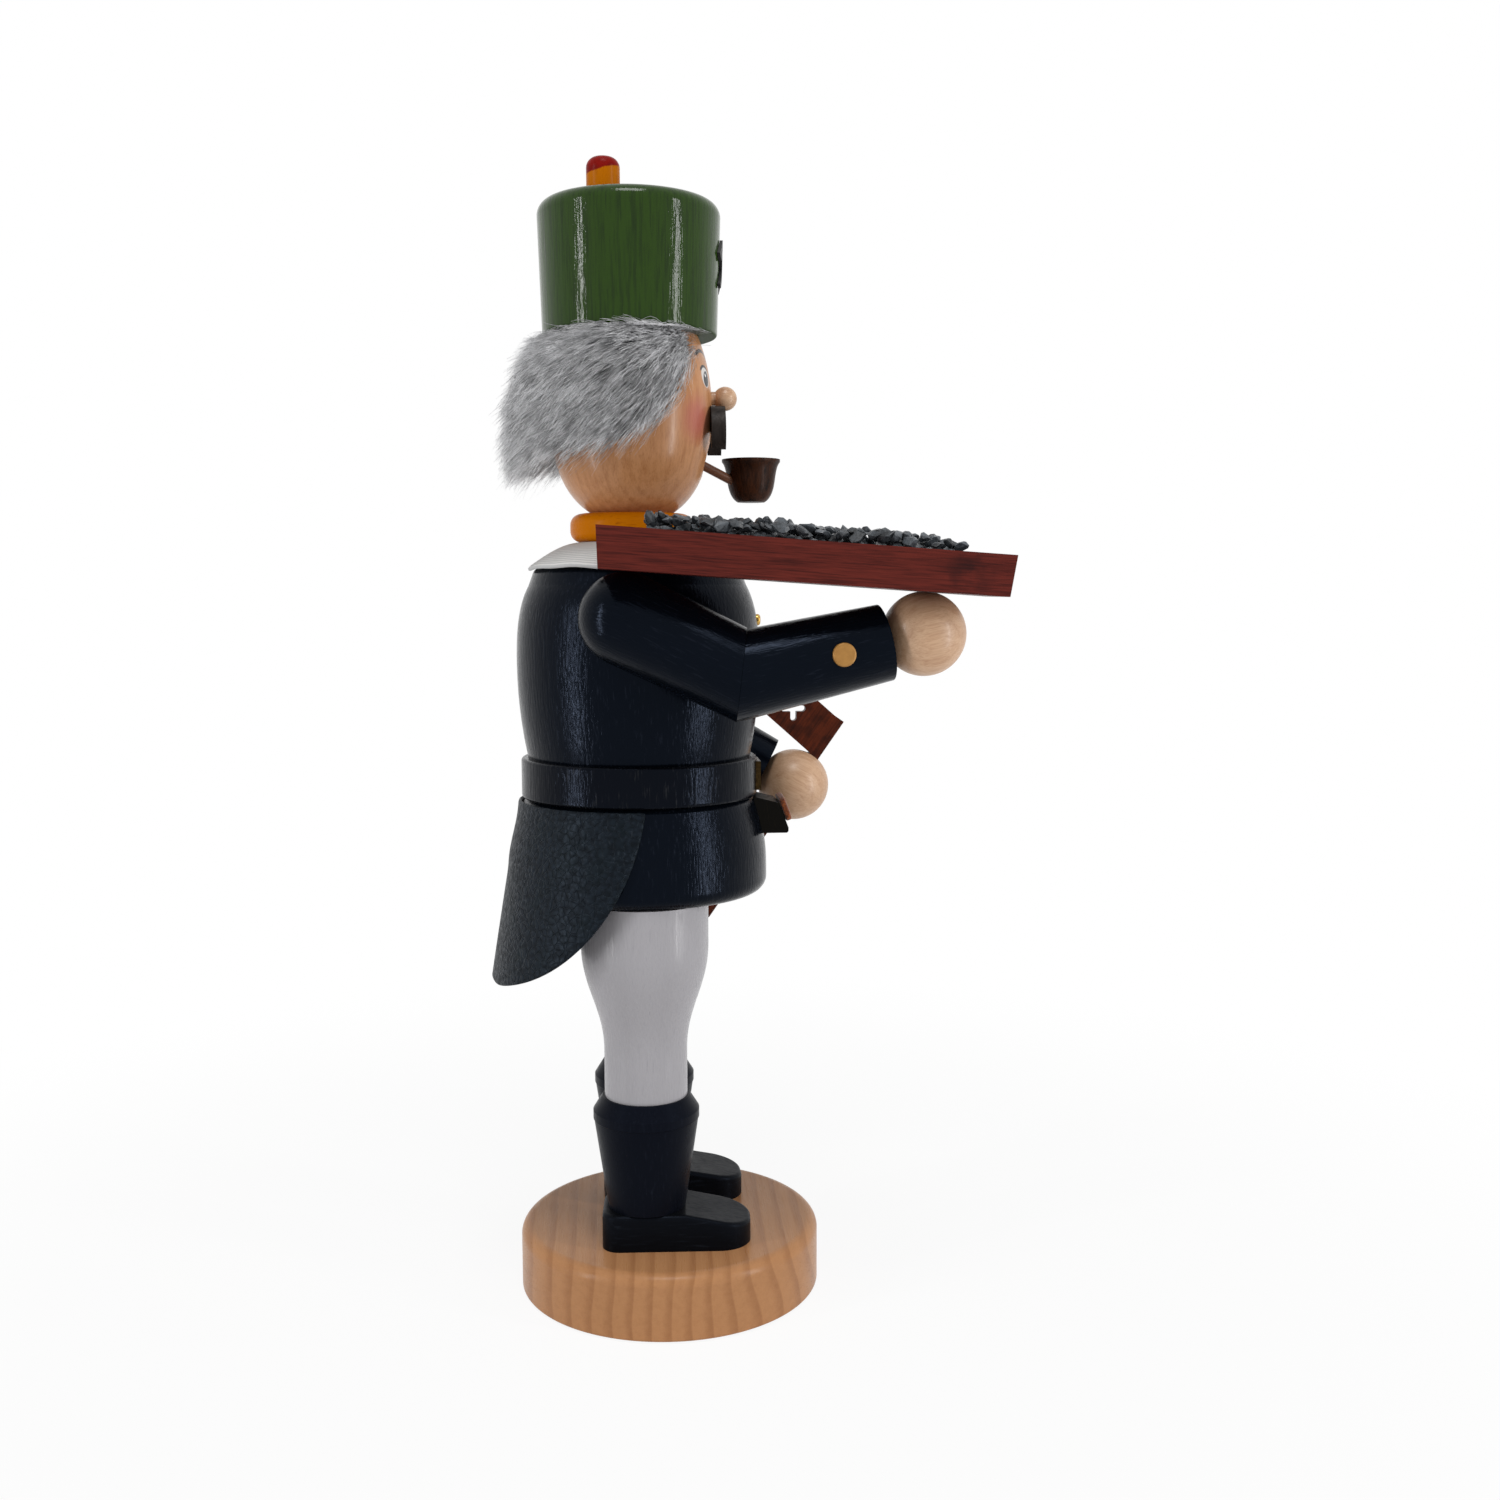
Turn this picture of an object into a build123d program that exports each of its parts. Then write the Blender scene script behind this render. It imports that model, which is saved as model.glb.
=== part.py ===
from build123d import *
import math
import os

# Turned wooden incense smoker: a standing miner with an ore trough on the shoulder.
# Millimetres, Z up. The origin is the centre of the base's underside, the figure
# faces -Y and its right hand is on the -X side.

# Fits
GLUE_GAP = 0.05            # between glued pieces, each side
RUN_GAP = 0.3              # between pieces that turn or lift, each side
HOLE_END = 0.4             # free depth at the end of a dowel hole
REACH = 200.0              # cutting bodies that pass right through

# Base
BASE_D = 63.4
BASE_H = 13.5
BASE_ROUND = 2.4
BASE_EDGE = 0.6
AXIS_BACK = 5.6            # figure's axis behind the base's centre

# Feet
FOOT_L = 30.5
FOOT_W = 15.0
FOOT_H = 7.5
FOOT_TOE_H = 4.7
FOOT_TOE_CORNER = 6.4
FOOT_HEEL_CORNER = 3.6
FOOT_EDGE = 0.9
HEEL_BACK = 9.1            # heel behind the leg's axis
TOE_OUT = 2.5              # degrees
FOOT_DOWEL_D = 6.0
FOOT_DOWEL_IN_BASE = 8.0
FOOT_DOWEL_IN_BOOT = 9.0

# Boot shafts
ANKLE_D = 16.0
BOOT_D = 21.8
BOOT_H = 23.5
BOOT_BEVEL_H = 3.0
BOOT_BAND_H = 1.9
BOOT_BAND_STEP = 0.15
BOOT_RIM = 0.5
BOOT_SOCKET = 6.0
BOOT_SPACE = 2.5           # between the two boots

# Legs
LEG_D = 17.0
LEG_H = 40.5               # from boot top to coat
LEG_AHEAD = 0.55           # legs ahead of the figure's axis
CALF_H = 9.5               # straight part above the boot
THIGH_D = 26.0
THIGH_H = 9.0              # straight part under the coat
THIGH_GAP = 0.3            # between the pared inner thighs
HIP_DOWEL_D = 8.0
HIP_DOWEL_IN_LEG = 12.0
HIP_DOWEL_IN_BODY = 10.0

# Lower body: coat skirt and spigot
SKIRT_D = 53.0
SKIRT_H = 20.0
SKIRT_FULL_H = 5.5         # widest point above the hem
SKIRT_ROUND = 3.0
SKIRT_GROOVE = 0.9         # groove under the belt
SPIGOT_UP = 5.0            # above the belt

# Fire dish in the spigot
SPIGOT_RIM = 1.8           # wood round the dish
DISH_FLANGE = 2.9          # flat rim of the dish
DISH_DEPTH = 2.6
DISH_T = 0.6
DISH_LEDGE = 1.2
DISH_CUP_D = 10.0
DISH_VENT_D = 2.6
DISH_VENTS = 6
DISH_SEAT = 1.2            # ledge under the dish's rim
PLENUM_DEPTH = 6.0
AIR_D = 6.2
AIR_WALL = 0.6             # between air hole and thighs

# Seat leather round the back of the coat
LEATHER_T = 0.9
LEATHER_DROP = 40.0        # end of the uncut sheet below the belt
LEATHER_FLARE = 9.0        # degrees, below the widest point of the coat
LEATHER_SWEEP = 45.75      # radius of the side edges
LEATHER_LIFT = 6.0         # centre of that radius above the sheet
LEATHER_FRONT = 1.25       # foremost point of that radius ahead of the figure's axis
LEATHER_BELT_GAP = 0.4

# Belt
BELT_D = 49.0
BELT_H = 8.3
BELT_WALL = 5.7
BELT_OVER_SKIRT = 0.3      # belt proud of the coat below it
BELT_OVER_TORSO = 1.4      # belt proud of the torso above it
BELT_EDGE = 0.7
BUCKLE_W = 9.0
BUCKLE_H = 6.0
BUCKLE_T = 1.1
BUCKLE_FRAME = 1.3
BUCKLE_SINK = 0.5

# Pouch under the buckle
POUCH_W = 11.0
POUCH_H = 7.5
POUCH_TOP = 4.6            # depth of its top edge in front of the coat
POUCH_FALL = 1.2           # fall of its top
POUCH_OUT = 6.6            # depth of its nose in front of the coat's top
POUCH_NOSE = 1.1           # height of the nose above its bottom
POUCH_EDGE = 0.5
FLAP_T = 1.8
FLAP_UP = 0.7              # flap's start above the pouch's top edge
FLAP_SHORT = 0.8           # flap's end above the pouch's nose

# Torso
TORSO_D = 50.2
TORSO_BELLY_H = 20.0
SHOULDER_D = 44.8
SHOULDER_DOWN = 7.8        # end of the barrel curve below the torso's top
SHOULDER_IN = 1.1
SHOULDER_ROUND = 2.0
TORSO_H = 43.2
NECK_SEAT_D = 22.4
CHAMBER_ROOF = 13.7        # wood above the smoke chamber
CHAMBER_ROUND = 4.0
BUTTON_D = 2.4
BUTTON_T = 1.2
BUTTON_SINK = 0.4
BUTTON_DOWN = 15.1         # uppermost button below the torso's top
BUTTON_PITCH = 8.0
BUTTONS = 3

# Collar and neck
COLLAR_T = 0.9
COLLAR_D = 44.8
COLLAR_FALL = 25.0         # degrees
COLLAR_SPLIT = 14.0        # degrees, open at the throat
RING_D = 25.3
RING_H = 5.8
RING_ROUND = 2.3
NECK_BACK = 1.1            # neck, head and hat behind the torso's axis
NECK_D = 14.0
NECK_SET = 8.0
SMOKE_D = 8.4

# Head
HEAD_D = 33.0
HEAD_H = 35.7
HEAD_CHIN_D = 16.4
HEAD_CROWN_D = 27.8
HEAD_FULL_H = 18.0
MOUTH_D = 7.0
MOUTH_UP = 11.0
NOSE_D = 4.9
NOSE_STEM_D = 2.8
NOSE_OUT = 2.8
NOSE_UP = 23.5
NOSE_SET = 3.5
TACHE_W = 17.0
TACHE_H = 8.6
TACHE_T = 2.5
TACHE_UP = 21.2            # upper edge above the head's foot
TACHE_SINK = 0.4

# Pipe
BOWL_D = 12.4
BOWL_FOOT_D = 5.8
BOWL_H = 9.0
BOWL_BORE_D = 8.4
BOWL_WALL = 0.8
BOWL_FLOOR = 2.4
BOWL_ACROSS = 10.0         # to the figure's left of the face's centre
BOWL_AHEAD = 9.0           # ahead of the face
BOWL_UP = 3.0              # underside above the head's foot
STEM_D = 1.9
STEM_ACROSS = 5.2
STEM_UP = 10.6
STEM_SET = 3.0

# Hat
HAT_D = 35.5
HAT_TOP_D = 37.2
HAT_H = 26.4
HAT_ROUND = 2.9
HAT_EDGE = 0.6
TENON_D = 16.0
TENON_H = 6.0
PEG_D = 6.8
PEG_H = 9.0
PEG_SET = 5.0
PEG_BACK = 5.1
PEG_ROUND = 2.2
EMBLEM_T = 0.6
EMBLEM_UP = 13.6
HAMMER_L = 11.0
HAMMER_HEAD_L = 4.2
HAMMER_HEAD_H = 2.0
HAMMER_HANDLE_W = 1.1

# Hair
HAIR_D = 47.2
HAIR_BACK = 4.2            # its centre behind the head's axis
HAIR_CROWN_D = 37.0
HAIR_ON_HAT = 2.6          # over the hat's lower edge
HAIR_LOW = 6.0             # lowest lock above the head's foot
HAIR_TRIM = 2.0            # cut away under the lowest lock
HAIR_GAP = 0.15

# Arms
ARM_X = 28.0
SHOULDER_BACK = 2.8        # shoulder centre behind the torso's axis
SHOULDER_BELOW = 14.3      # shoulder centre below the torso's top
SHOULDER_ARM_D = 18.0
ELBOW_D = 16.8
CUFF_D = 14.8
ELBOW_OUT = 5.6            # elbow further out than the shoulder
RIGHT_ELBOW_AHEAD = 21.7
RIGHT_ELBOW_DROP = 10.5
RIGHT_HAND_AHEAD = 35.2    # hand ahead of the elbow
RIGHT_HAND_IN = 3.0
LEFT_ELBOW_AHEAD = 8.9
LEFT_ELBOW_DROP = 23.2
LEFT_HAND_AHEAD = 29.7
LEFT_HAND_DROP = 16.2
LEFT_HAND_IN = 2.5
HAND_D = 16.2
HAND_FLAT = 0.2            # flat under the trough
CUFF_TO_HAND = 7.9         # cuff face to hand centre
CUFF_BUTTON_D = 4.5
CUFF_BUTTON_T = 1.1
CUFF_BUTTON_SINK = 0.6
CUFF_BUTTON_BACK = 9.8     # behind the cuff's face
ARM_DOWEL_D = 4.0
ARM_DOWEL_L = 10.0
SHOULDER_DOWEL_IN = 3.2
SHOULDER_DOWEL_OUT = 6.0

# Ore trough
TRAY_L = 75.7
TRAY_W = 20.0
TRAY_H = 7.75
TRAY_BOARD = 1.8
TRAY_FLARE = 6.0           # degrees
TRAY_PITCH = 4.1           # degrees, front end down
TRAY_BEHIND = 5.6          # behind the shoulder centre
TRAY_REST = 0.05
TRAY_CLEAR = 0.5           # beside the collar
ORE_BELOW_RIM = 1.2
ORE_PITCH = 4.05
ORE_HEAP = 4.6
ORE_TIP = 24.0             # degrees, most that a lump leans
ORE_TURN = 137.5           # degrees from one lump to the next

# Parade axe
AXE_T = 2.4
AXE_HANDLE_W = 2.6
AXE_HAND_GAP = 0.1         # between hand and blade
AXE_BELOW_HAND = 36.5
AXE_LEAN = 55.2            # degrees from level
AXE_BLADE_W = 10.3
AXE_BLADE_L = 18.5
AXE_BLADE_LIFT = 7.0       # degrees
AXE_EYE_L = 5.6            # arms of its crossed eye
AXE_EYE_W = 1.4

# Heights, stacked from the floor
foot_top = BASE_H + FOOT_H
boot_top = foot_top + BOOT_H
hip_z = boot_top + LEG_H
belt_z = hip_z + SKIRT_H
torso_z = belt_z + BELT_H
torso_top = torso_z + TORSO_H
ring_z = torso_top + COLLAR_T
head_z = ring_z + RING_H
hat_z = head_z + HEAD_H
hat_top = hat_z + HAT_H

# Shared places
leg_x = (BOOT_D + BOOT_SPACE) / 2
leg_y = AXIS_BACK - LEG_AHEAD
skirt_top_d = BELT_D - 2 * BELT_OVER_SKIRT
torso_foot_d = BELT_D - 2 * BELT_OVER_TORSO
bore_r = BELT_D / 2 - BELT_WALL
spigot_d = 2 * (bore_r - RUN_GAP)
dish_d = spigot_d - 2 * SPIGOT_RIM
dish_pan_d = dish_d - 2 * DISH_FLANGE - DISH_DEPTH
plenum_d = dish_d - 2 * DISH_SEAT
shoulder_h = TORSO_H - SHOULDER_DOWN
head_y = AXIS_BACK + NECK_BACK
face_y = head_y - HEAD_D / 2
at_axis = Pos(0, AXIS_BACK, 0)
at_neck = Pos(0, head_y, 0)
FROM_BASE = (Align.CENTER, Align.CENTER, Align.MIN)
FROM_BACK = (Align.CENTER, Align.MAX, Align.CENTER)


def turned(*curves):
    """Solid turned about Z from a closed profile of (radius, height) curves."""
    edges = [edge for curve in curves for edge in curve.edges()]
    return revolve(make_face(edges), axis=Axis.Z)


def outline(*points, close=False):
    """Straight profile through (radius, height) points."""
    return Polyline(*[(r, 0, z) for r, z in points], close=close)


def swell(*points, tangents):
    """Smooth profile through (radius, height) points."""
    ends = [(r, 0, z) for r, z in tangents]
    return Spline(*[(r, 0, z) for r, z in points], tangents=ends)


def radius_at(curve, height):
    """Radius of a rising profile curve at a height."""
    low = 0.0
    high = 1.0
    for _ in range(40):
        middle = (low + high) / 2
        if curve.position_at(middle).Z < height:
            low = middle
        else:
            high = middle
    return curve.position_at(low).X


def rod(start, end, diameter):
    """Round rod between two points."""
    along = Vector(*end) - Vector(*start)
    return Plane(origin=start, z_dir=along) * Cylinder(diameter / 2, along.length, align=FROM_BASE)


def drilled(start, end, diameter):
    """Hole for a rod: looser all round and deeper at both ends."""
    along = (Vector(*end) - Vector(*start)).normalized()
    first = Vector(*start) - along * HOLE_END
    last = Vector(*end) + along * HOLE_END
    return rod(tuple(first), tuple(last), diameter + 2 * GLUE_GAP)


def beyond(point, direction):
    """Everything past a plane."""
    return Plane(origin=point, z_dir=direction) * Box(REACH, REACH, REACH, align=FROM_BASE)


def side_view(*points):
    """Closed (y, z) outline seen from the side, across the whole width."""
    return extrude(Plane.YZ * make_face(Polyline(*points, close=True).edges()), REACH / 2, both=True)


nodes = {}

# Base disc
base = Cylinder(BASE_D / 2, BASE_H, align=FROM_BASE)
base = fillet(base.edges().group_by(Axis.Z)[-1], BASE_ROUND)
base = fillet(base.edges().group_by(Axis.Z)[0], BASE_EDGE)

# Feet, boots and legs
foot_mid = HEEL_BACK - FOOT_L / 2
toe = HEEL_BACK - FOOT_L
instep = -ANKLE_D / 2
foot_plan = Pos(0, foot_mid) * Rectangle(FOOT_W, FOOT_L)
foot_plan = fillet(foot_plan.vertices().group_by(Axis.Y)[0], FOOT_TOE_CORNER)
foot_plan = fillet(foot_plan.vertices().group_by(Axis.Y)[-1], FOOT_HEEL_CORNER)
foot_block = extrude(foot_plan, FOOT_H)
toe_cut = side_view((instep, FOOT_H), (toe, FOOT_TOE_H), (toe, 2 * FOOT_H), (instep, 2 * FOOT_H))
foot_block = foot_block - toe_cut
foot_top_edges = foot_block.edges().filter_by(lambda e: e.bounding_box().min.Z > FOOT_TOE_H / 2)
foot_rims = foot_top_edges.filter_by(
    lambda e: abs(e.center().X) > FOOT_W / 4 or e.center().Y < foot_mid)
foot_block = fillet(foot_rims, FOOT_EDGE)

boot_band = BOOT_H - BOOT_BEVEL_H - BOOT_BAND_H
boot_form = turned(outline(
    (0, 0),
    (ANKLE_D / 2, 0),
    (BOOT_D / 2 - BOOT_BAND_STEP, boot_band),
    (BOOT_D / 2, boot_band + BOOT_BAND_STEP),
    (BOOT_D / 2, BOOT_H - BOOT_BEVEL_H),
    (LEG_D / 2 + BOOT_RIM, BOOT_H),
    (LEG_D / 2 + GLUE_GAP, BOOT_H),
    (LEG_D / 2 + GLUE_GAP, BOOT_H - BOOT_SOCKET),
    (0, BOOT_H - BOOT_SOCKET),
    close=True))

leg_foot = GLUE_GAP - BOOT_SOCKET
thigh_low = LEG_H - THIGH_H
leg_swell = swell((LEG_D / 2, CALF_H), (THIGH_D / 2, thigh_low), tangents=[(0, 1), (0, 1)])
leg_form = turned(
    leg_swell,
    outline((THIGH_D / 2, thigh_low), (THIGH_D / 2, LEG_H), (0, LEG_H), (0, leg_foot),
            (LEG_D / 2, leg_foot), (LEG_D / 2, CALF_H)))

for side, name in ((-1, "right"), (1, "left")):
    x = side * leg_x
    stance = Pos(x, leg_y, 0)
    foot_pin = ((x, leg_y, BASE_H - FOOT_DOWEL_IN_BASE), (x, leg_y, foot_top + FOOT_DOWEL_IN_BOOT))
    hip_pin = ((x, leg_y, hip_z - HIP_DOWEL_IN_LEG), (x, leg_y, hip_z + HIP_DOWEL_IN_BODY))
    foot_hole = drilled(*foot_pin, FOOT_DOWEL_D)
    inner_thigh = beyond((side * THIGH_GAP / 2, 0, 0), (-side, 0, 0))
    base = base - foot_hole
    foot_at = stance * Pos(0, 0, BASE_H) * Rot(0, 0, side * TOE_OUT)
    nodes[name + "_foot"] = foot_at * foot_block - foot_hole
    nodes[name + "_boot_shaft"] = stance * Pos(0, 0, foot_top) * boot_form - foot_hole
    leg = stance * Pos(0, 0, boot_top) * leg_form - inner_thigh
    nodes[name + "_leg"] = leg - drilled(*hip_pin, HIP_DOWEL_D)
    nodes[name + "_foot_dowel"] = rod(*foot_pin, FOOT_DOWEL_D)
    nodes[name + "_hip_dowel"] = rod(*hip_pin, HIP_DOWEL_D)
nodes["base_disc"] = base

# Lower body with its spigot, fire dish seat and air hole
coat_ends = [(0, 1), (-0.3, 1)]
skirt_curve = swell(
    (SKIRT_D / 2, hip_z + SKIRT_FULL_H), (skirt_top_d / 2, belt_z - SKIRT_GROOVE),
    tangents=coat_ends)
skirt_form = turned(
    skirt_curve,
    outline((skirt_top_d / 2, belt_z - SKIRT_GROOVE), (skirt_top_d / 2 - SKIRT_GROOVE, belt_z),
            (0, belt_z), (0, hip_z), (SKIRT_D / 2, hip_z), (SKIRT_D / 2, hip_z + SKIRT_FULL_H)))
skirt_form = fillet(skirt_form.edges().group_by(Axis.Z)[0].sort_by(SortBy.LENGTH)[-1:], SKIRT_ROUND)
spigot_top = torso_z + SPIGOT_UP
ledge_z = spigot_top - DISH_LEDGE
plenum_z = spigot_top - PLENUM_DEPTH
thigh_clear = THIGH_D / 2 + AIR_D / 2 + AIR_WALL
air_back = math.sqrt(thigh_clear ** 2 - leg_x ** 2) - LEG_AHEAD
spigot = Pos(0, 0, belt_z) * Cylinder(spigot_d / 2, spigot_top - belt_z, align=FROM_BASE)
ledge = Pos(0, 0, ledge_z) * Cylinder(dish_d / 2 + GLUE_GAP, REACH, align=FROM_BASE)
plenum = Pos(0, 0, plenum_z) * Cylinder(plenum_d / 2, REACH, align=FROM_BASE)
air_hole = Pos(0, air_back, 0) * Cylinder(AIR_D / 2, plenum_z + GLUE_GAP, align=FROM_BASE)
lower_body = at_axis * (skirt_form + spigot - ledge - plenum - air_hole)
for side in (-1, 1):
    x = side * leg_x
    lower_body = lower_body - drilled(
        (x, leg_y, hip_z - HIP_DOWEL_IN_LEG), (x, leg_y, hip_z + HIP_DOWEL_IN_BODY), HIP_DOWEL_D)
nodes["lower_body"] = lower_body

# Pressed metal dish with a cup for the cone and a ring of vents
dish = turned(outline(
    (0, ledge_z - DISH_DEPTH),
    (dish_pan_d / 2, ledge_z - DISH_DEPTH),
    (dish_pan_d / 2 + DISH_DEPTH / 2, ledge_z),
    (dish_d / 2, ledge_z),
    (dish_d / 2, ledge_z + DISH_T),
    (dish_pan_d / 2 + DISH_DEPTH / 2 - DISH_T / 2, ledge_z + DISH_T),
    (dish_pan_d / 2 - DISH_T / 2, ledge_z - DISH_DEPTH + DISH_T),
    (DISH_CUP_D / 2 + DISH_T, ledge_z - DISH_DEPTH + DISH_T),
    (DISH_CUP_D / 2 + DISH_T, ledge_z - DISH_T),
    (DISH_CUP_D / 2, ledge_z - DISH_T),
    (DISH_CUP_D / 2, ledge_z - DISH_DEPTH + DISH_T),
    (0, ledge_z - DISH_DEPTH + DISH_T),
    close=True))
vent_r = (dish_pan_d + DISH_CUP_D) / 4
vent = Pos(0, 0, plenum_z) * Cylinder(DISH_VENT_D / 2, REACH, align=FROM_BASE)
vents = PolarLocations(vent_r, DISH_VENTS) * vent
nodes["cone_dish"] = at_axis * (dish - vents)

# Seat leather: a sheet that follows the coat and hangs on below it
leather_top = belt_z - LEATHER_BELT_GAP
leather_low = belt_z - LEATHER_DROP - LEATHER_T
full_z = hip_z + SKIRT_FULL_H
leather_top_r = skirt_top_d / 2 + GLUE_GAP
leather_full_r = SKIRT_D / 2 + GLUE_GAP
leather_low_r = leather_full_r + (full_z - leather_low) * math.tan(math.radians(LEATHER_FLARE))
inner_upper = swell(
    (leather_full_r, full_z), (leather_top_r, belt_z - SKIRT_GROOVE), tangents=coat_ends)
outer_upper = swell(
    (leather_full_r + LEATHER_T, full_z), (leather_top_r + LEATHER_T, belt_z - SKIRT_GROOVE),
    tangents=coat_ends)
leather = turned(
    inner_upper,
    outer_upper,
    outline((leather_top_r, belt_z - SKIRT_GROOVE), (leather_top_r, leather_top),
            (leather_top_r + LEATHER_T, leather_top), (leather_top_r + LEATHER_T, belt_z - SKIRT_GROOVE)),
    outline((leather_full_r, full_z), (leather_low_r, leather_low),
            (leather_low_r + LEATHER_T, leather_low), (leather_full_r + LEATHER_T, full_z)))
sweep_y = LEATHER_SWEEP - LEATHER_FRONT
side_sweep = Pos(0, sweep_y, leather_top + LEATHER_LIFT) * Rot(0, 90, 0) * Cylinder(LEATHER_SWEEP, REACH)
nodes["seat_leather"] = at_axis * (leather & side_sweep)

# Belt ring, free to turn on the spigot, with its buckle
belt = Cylinder(BELT_D / 2, BELT_H, align=FROM_BASE)
belt = fillet(belt.edges(), BELT_EDGE)
belt = belt - Cylinder(bore_r, BELT_H, align=FROM_BASE)
buckle_y = -BELT_D / 2 + BUCKLE_SINK
buckle_seat = Pos(0, buckle_y, BELT_H / 2) * Box(
    BUCKLE_W + 2 * GLUE_GAP, BELT_D / 2, BUCKLE_H + 2 * GLUE_GAP, align=FROM_BACK)
buckle = Box(BUCKLE_W, BUCKLE_T, BUCKLE_H, align=FROM_BACK)
buckle = buckle - Pos(0, -BUCKLE_T / 2, 0) * Box(
    BUCKLE_W - 2 * BUCKLE_FRAME, BUCKLE_T, BUCKLE_H - 2 * BUCKLE_FRAME, align=FROM_BACK)
at_belt = at_axis * Pos(0, 0, belt_z)
nodes["belt_ring"] = at_belt * (belt - buckle_seat)
nodes["belt_buckle"] = at_belt * Pos(0, buckle_y, BELT_H / 2) * buckle

# Pouch under the buckle: a wedge coped to the coat, with a leather flap
coat_y = -skirt_top_d / 2
pouch_top_z = belt_z - RUN_GAP
pouch_low_z = pouch_top_z - POUCH_H
top_front = Vector(coat_y - POUCH_TOP, pouch_top_z - POUCH_FALL)
nose = Vector(coat_y - POUCH_OUT, pouch_low_z + POUCH_NOSE)
slope = (nose - top_front).normalized()
outward = Vector(slope.Y, -slope.X)
pouch_face = make_face(Polyline(
    (0, pouch_top_z), (coat_y, pouch_top_z), (top_front.X, top_front.Y), (nose.X, nose.Y),
    (nose.X, pouch_low_z), (0, pouch_low_z), close=True).edges())
pouch = extrude(Plane.YZ * pouch_face, POUCH_W / 2, both=True)
pouch = fillet(pouch.edges().filter_by(Axis.X).sort_by(Axis.Y)[:3], POUCH_EDGE)
flap_start = top_front + outward * GLUE_GAP - slope * FLAP_UP
flap_end = nose + outward * GLUE_GAP - slope * FLAP_SHORT
flap_out_end = flap_end + outward * FLAP_T
flap_out_start = flap_start + outward * FLAP_T
flap_face = make_face(Polyline(
    (flap_start.X, flap_start.Y), (flap_end.X, flap_end.Y), (flap_out_end.X, flap_out_end.Y),
    (flap_out_start.X, flap_out_start.Y), close=True).edges())
flap = extrude(Plane.YZ * flap_face, POUCH_W / 2, both=True)
flap = fillet(flap.edges().filter_by(Axis.X).sort_by(Axis.Y)[:2], POUCH_EDGE)
coat_clear = Pos(0, 0, belt_z) * Cylinder(skirt_top_d / 2, SKIRT_GROOVE * 2)
nodes["pouch_block"] = at_axis * (pouch - skirt_form - coat_clear)
nodes["pouch_flap"] = at_axis * flap

# Torso with the smoke chamber
shoulder_r = SHOULDER_D / 2
fall = math.tan(math.radians(COLLAR_FALL))
corner_r = shoulder_r - SHOULDER_IN
corner_h = TORSO_H - (corner_r - NECK_SEAT_D / 2) * fall


def torso_profile(grow):
    """Barrel curve of the torso, larger all round by a gap."""
    return swell(
        (torso_foot_d / 2 + grow, 0), (TORSO_D / 2 + grow, TORSO_BELLY_H),
        (shoulder_r + grow, shoulder_h), tangents=[(0.2, 1), (-0.55, 1)])


def torso_shape(grow):
    """Torso without its bores, larger all round by a gap."""
    shape = turned(
        torso_profile(grow),
        outline((shoulder_r + grow, shoulder_h), (corner_r + grow, corner_h + grow),
                (NECK_SEAT_D / 2, TORSO_H + grow), (0, TORSO_H + grow),
                (0, 0), (torso_foot_d / 2 + grow, 0)))
    rims = shape.edges().filter_by(GeomType.CIRCLE)
    rims = rims.filter_by(lambda e: shoulder_h < e.center().Z < TORSO_H - SHOULDER_ROUND)
    return fillet(rims, SHOULDER_ROUND)


torso_curve = torso_profile(0)
torso_form = torso_shape(0)
chamber = Cylinder(bore_r, TORSO_H - CHAMBER_ROOF, align=FROM_BASE)
chamber = fillet(chamber.edges().group_by(Axis.Z)[-1], CHAMBER_ROUND)
neck_bore = Cylinder(SMOKE_D / 2, TORSO_H, align=FROM_BASE)
socket_z = TORSO_H - NECK_SET - HOLE_END
neck_socket = Pos(0, 0, socket_z) * Cylinder(NECK_D / 2 + GLUE_GAP, REACH, align=FROM_BASE)
at_torso = at_axis * Pos(0, 0, torso_z)
torso = torso_form - chamber - Pos(0, NECK_BACK, 0) * (neck_bore + neck_socket)
torso = at_torso * torso
arm_seat = at_torso * torso_shape(GLUE_GAP)

# Coat buttons in spot-faced seats
button = Rot(90, 0, 0) * Cylinder(BUTTON_D / 2, BUTTON_T, align=FROM_BASE)
button = fillet(button.edges().sort_by(Axis.Y)[0], BUTTON_T / 2)
button_seat = Rot(90, 0, 0) * Cylinder(BUTTON_D / 2 + GLUE_GAP, BUTTON_T * 2, align=FROM_BASE)
buttons = []
for number in range(BUTTONS):
    up = TORSO_H - BUTTON_DOWN - number * BUTTON_PITCH
    seat = Pos(0, AXIS_BACK - radius_at(torso_curve, up) + BUTTON_SINK, torso_z + up)
    torso = torso - seat * button_seat
    buttons.append(seat * button)
nodes["coat_buttons"] = Compound(children=buttons)

# Cloth collar, pinched between torso and neck ring
collar_r = COLLAR_D / 2
seat_r = NECK_SEAT_D / 2
collar_low = -(collar_r - seat_r) * fall
collar = turned(outline(
    (NECK_D / 2 + RUN_GAP, GLUE_GAP), (seat_r, GLUE_GAP), (collar_r, collar_low + GLUE_GAP),
    (collar_r, collar_low + COLLAR_T), (seat_r, COLLAR_T - GLUE_GAP),
    (NECK_D / 2 + RUN_GAP, COLLAR_T - GLUE_GAP), close=True))
half_split = math.radians(COLLAR_SPLIT / 2)
split_x = REACH * math.sin(half_split)
split_y = -REACH * math.cos(half_split)
throat_face = make_face(Polyline((0, 0), (split_x, split_y), (-split_x, split_y), close=True).edges())
throat = extrude(throat_face, REACH, both=True)
collar = collar - Pos(0, NECK_BACK, 0) * Cylinder(NECK_D / 2 + RUN_GAP, REACH)
nodes["collar_cloth"] = at_axis * Pos(0, 0, torso_top) * (collar - throat)

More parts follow.
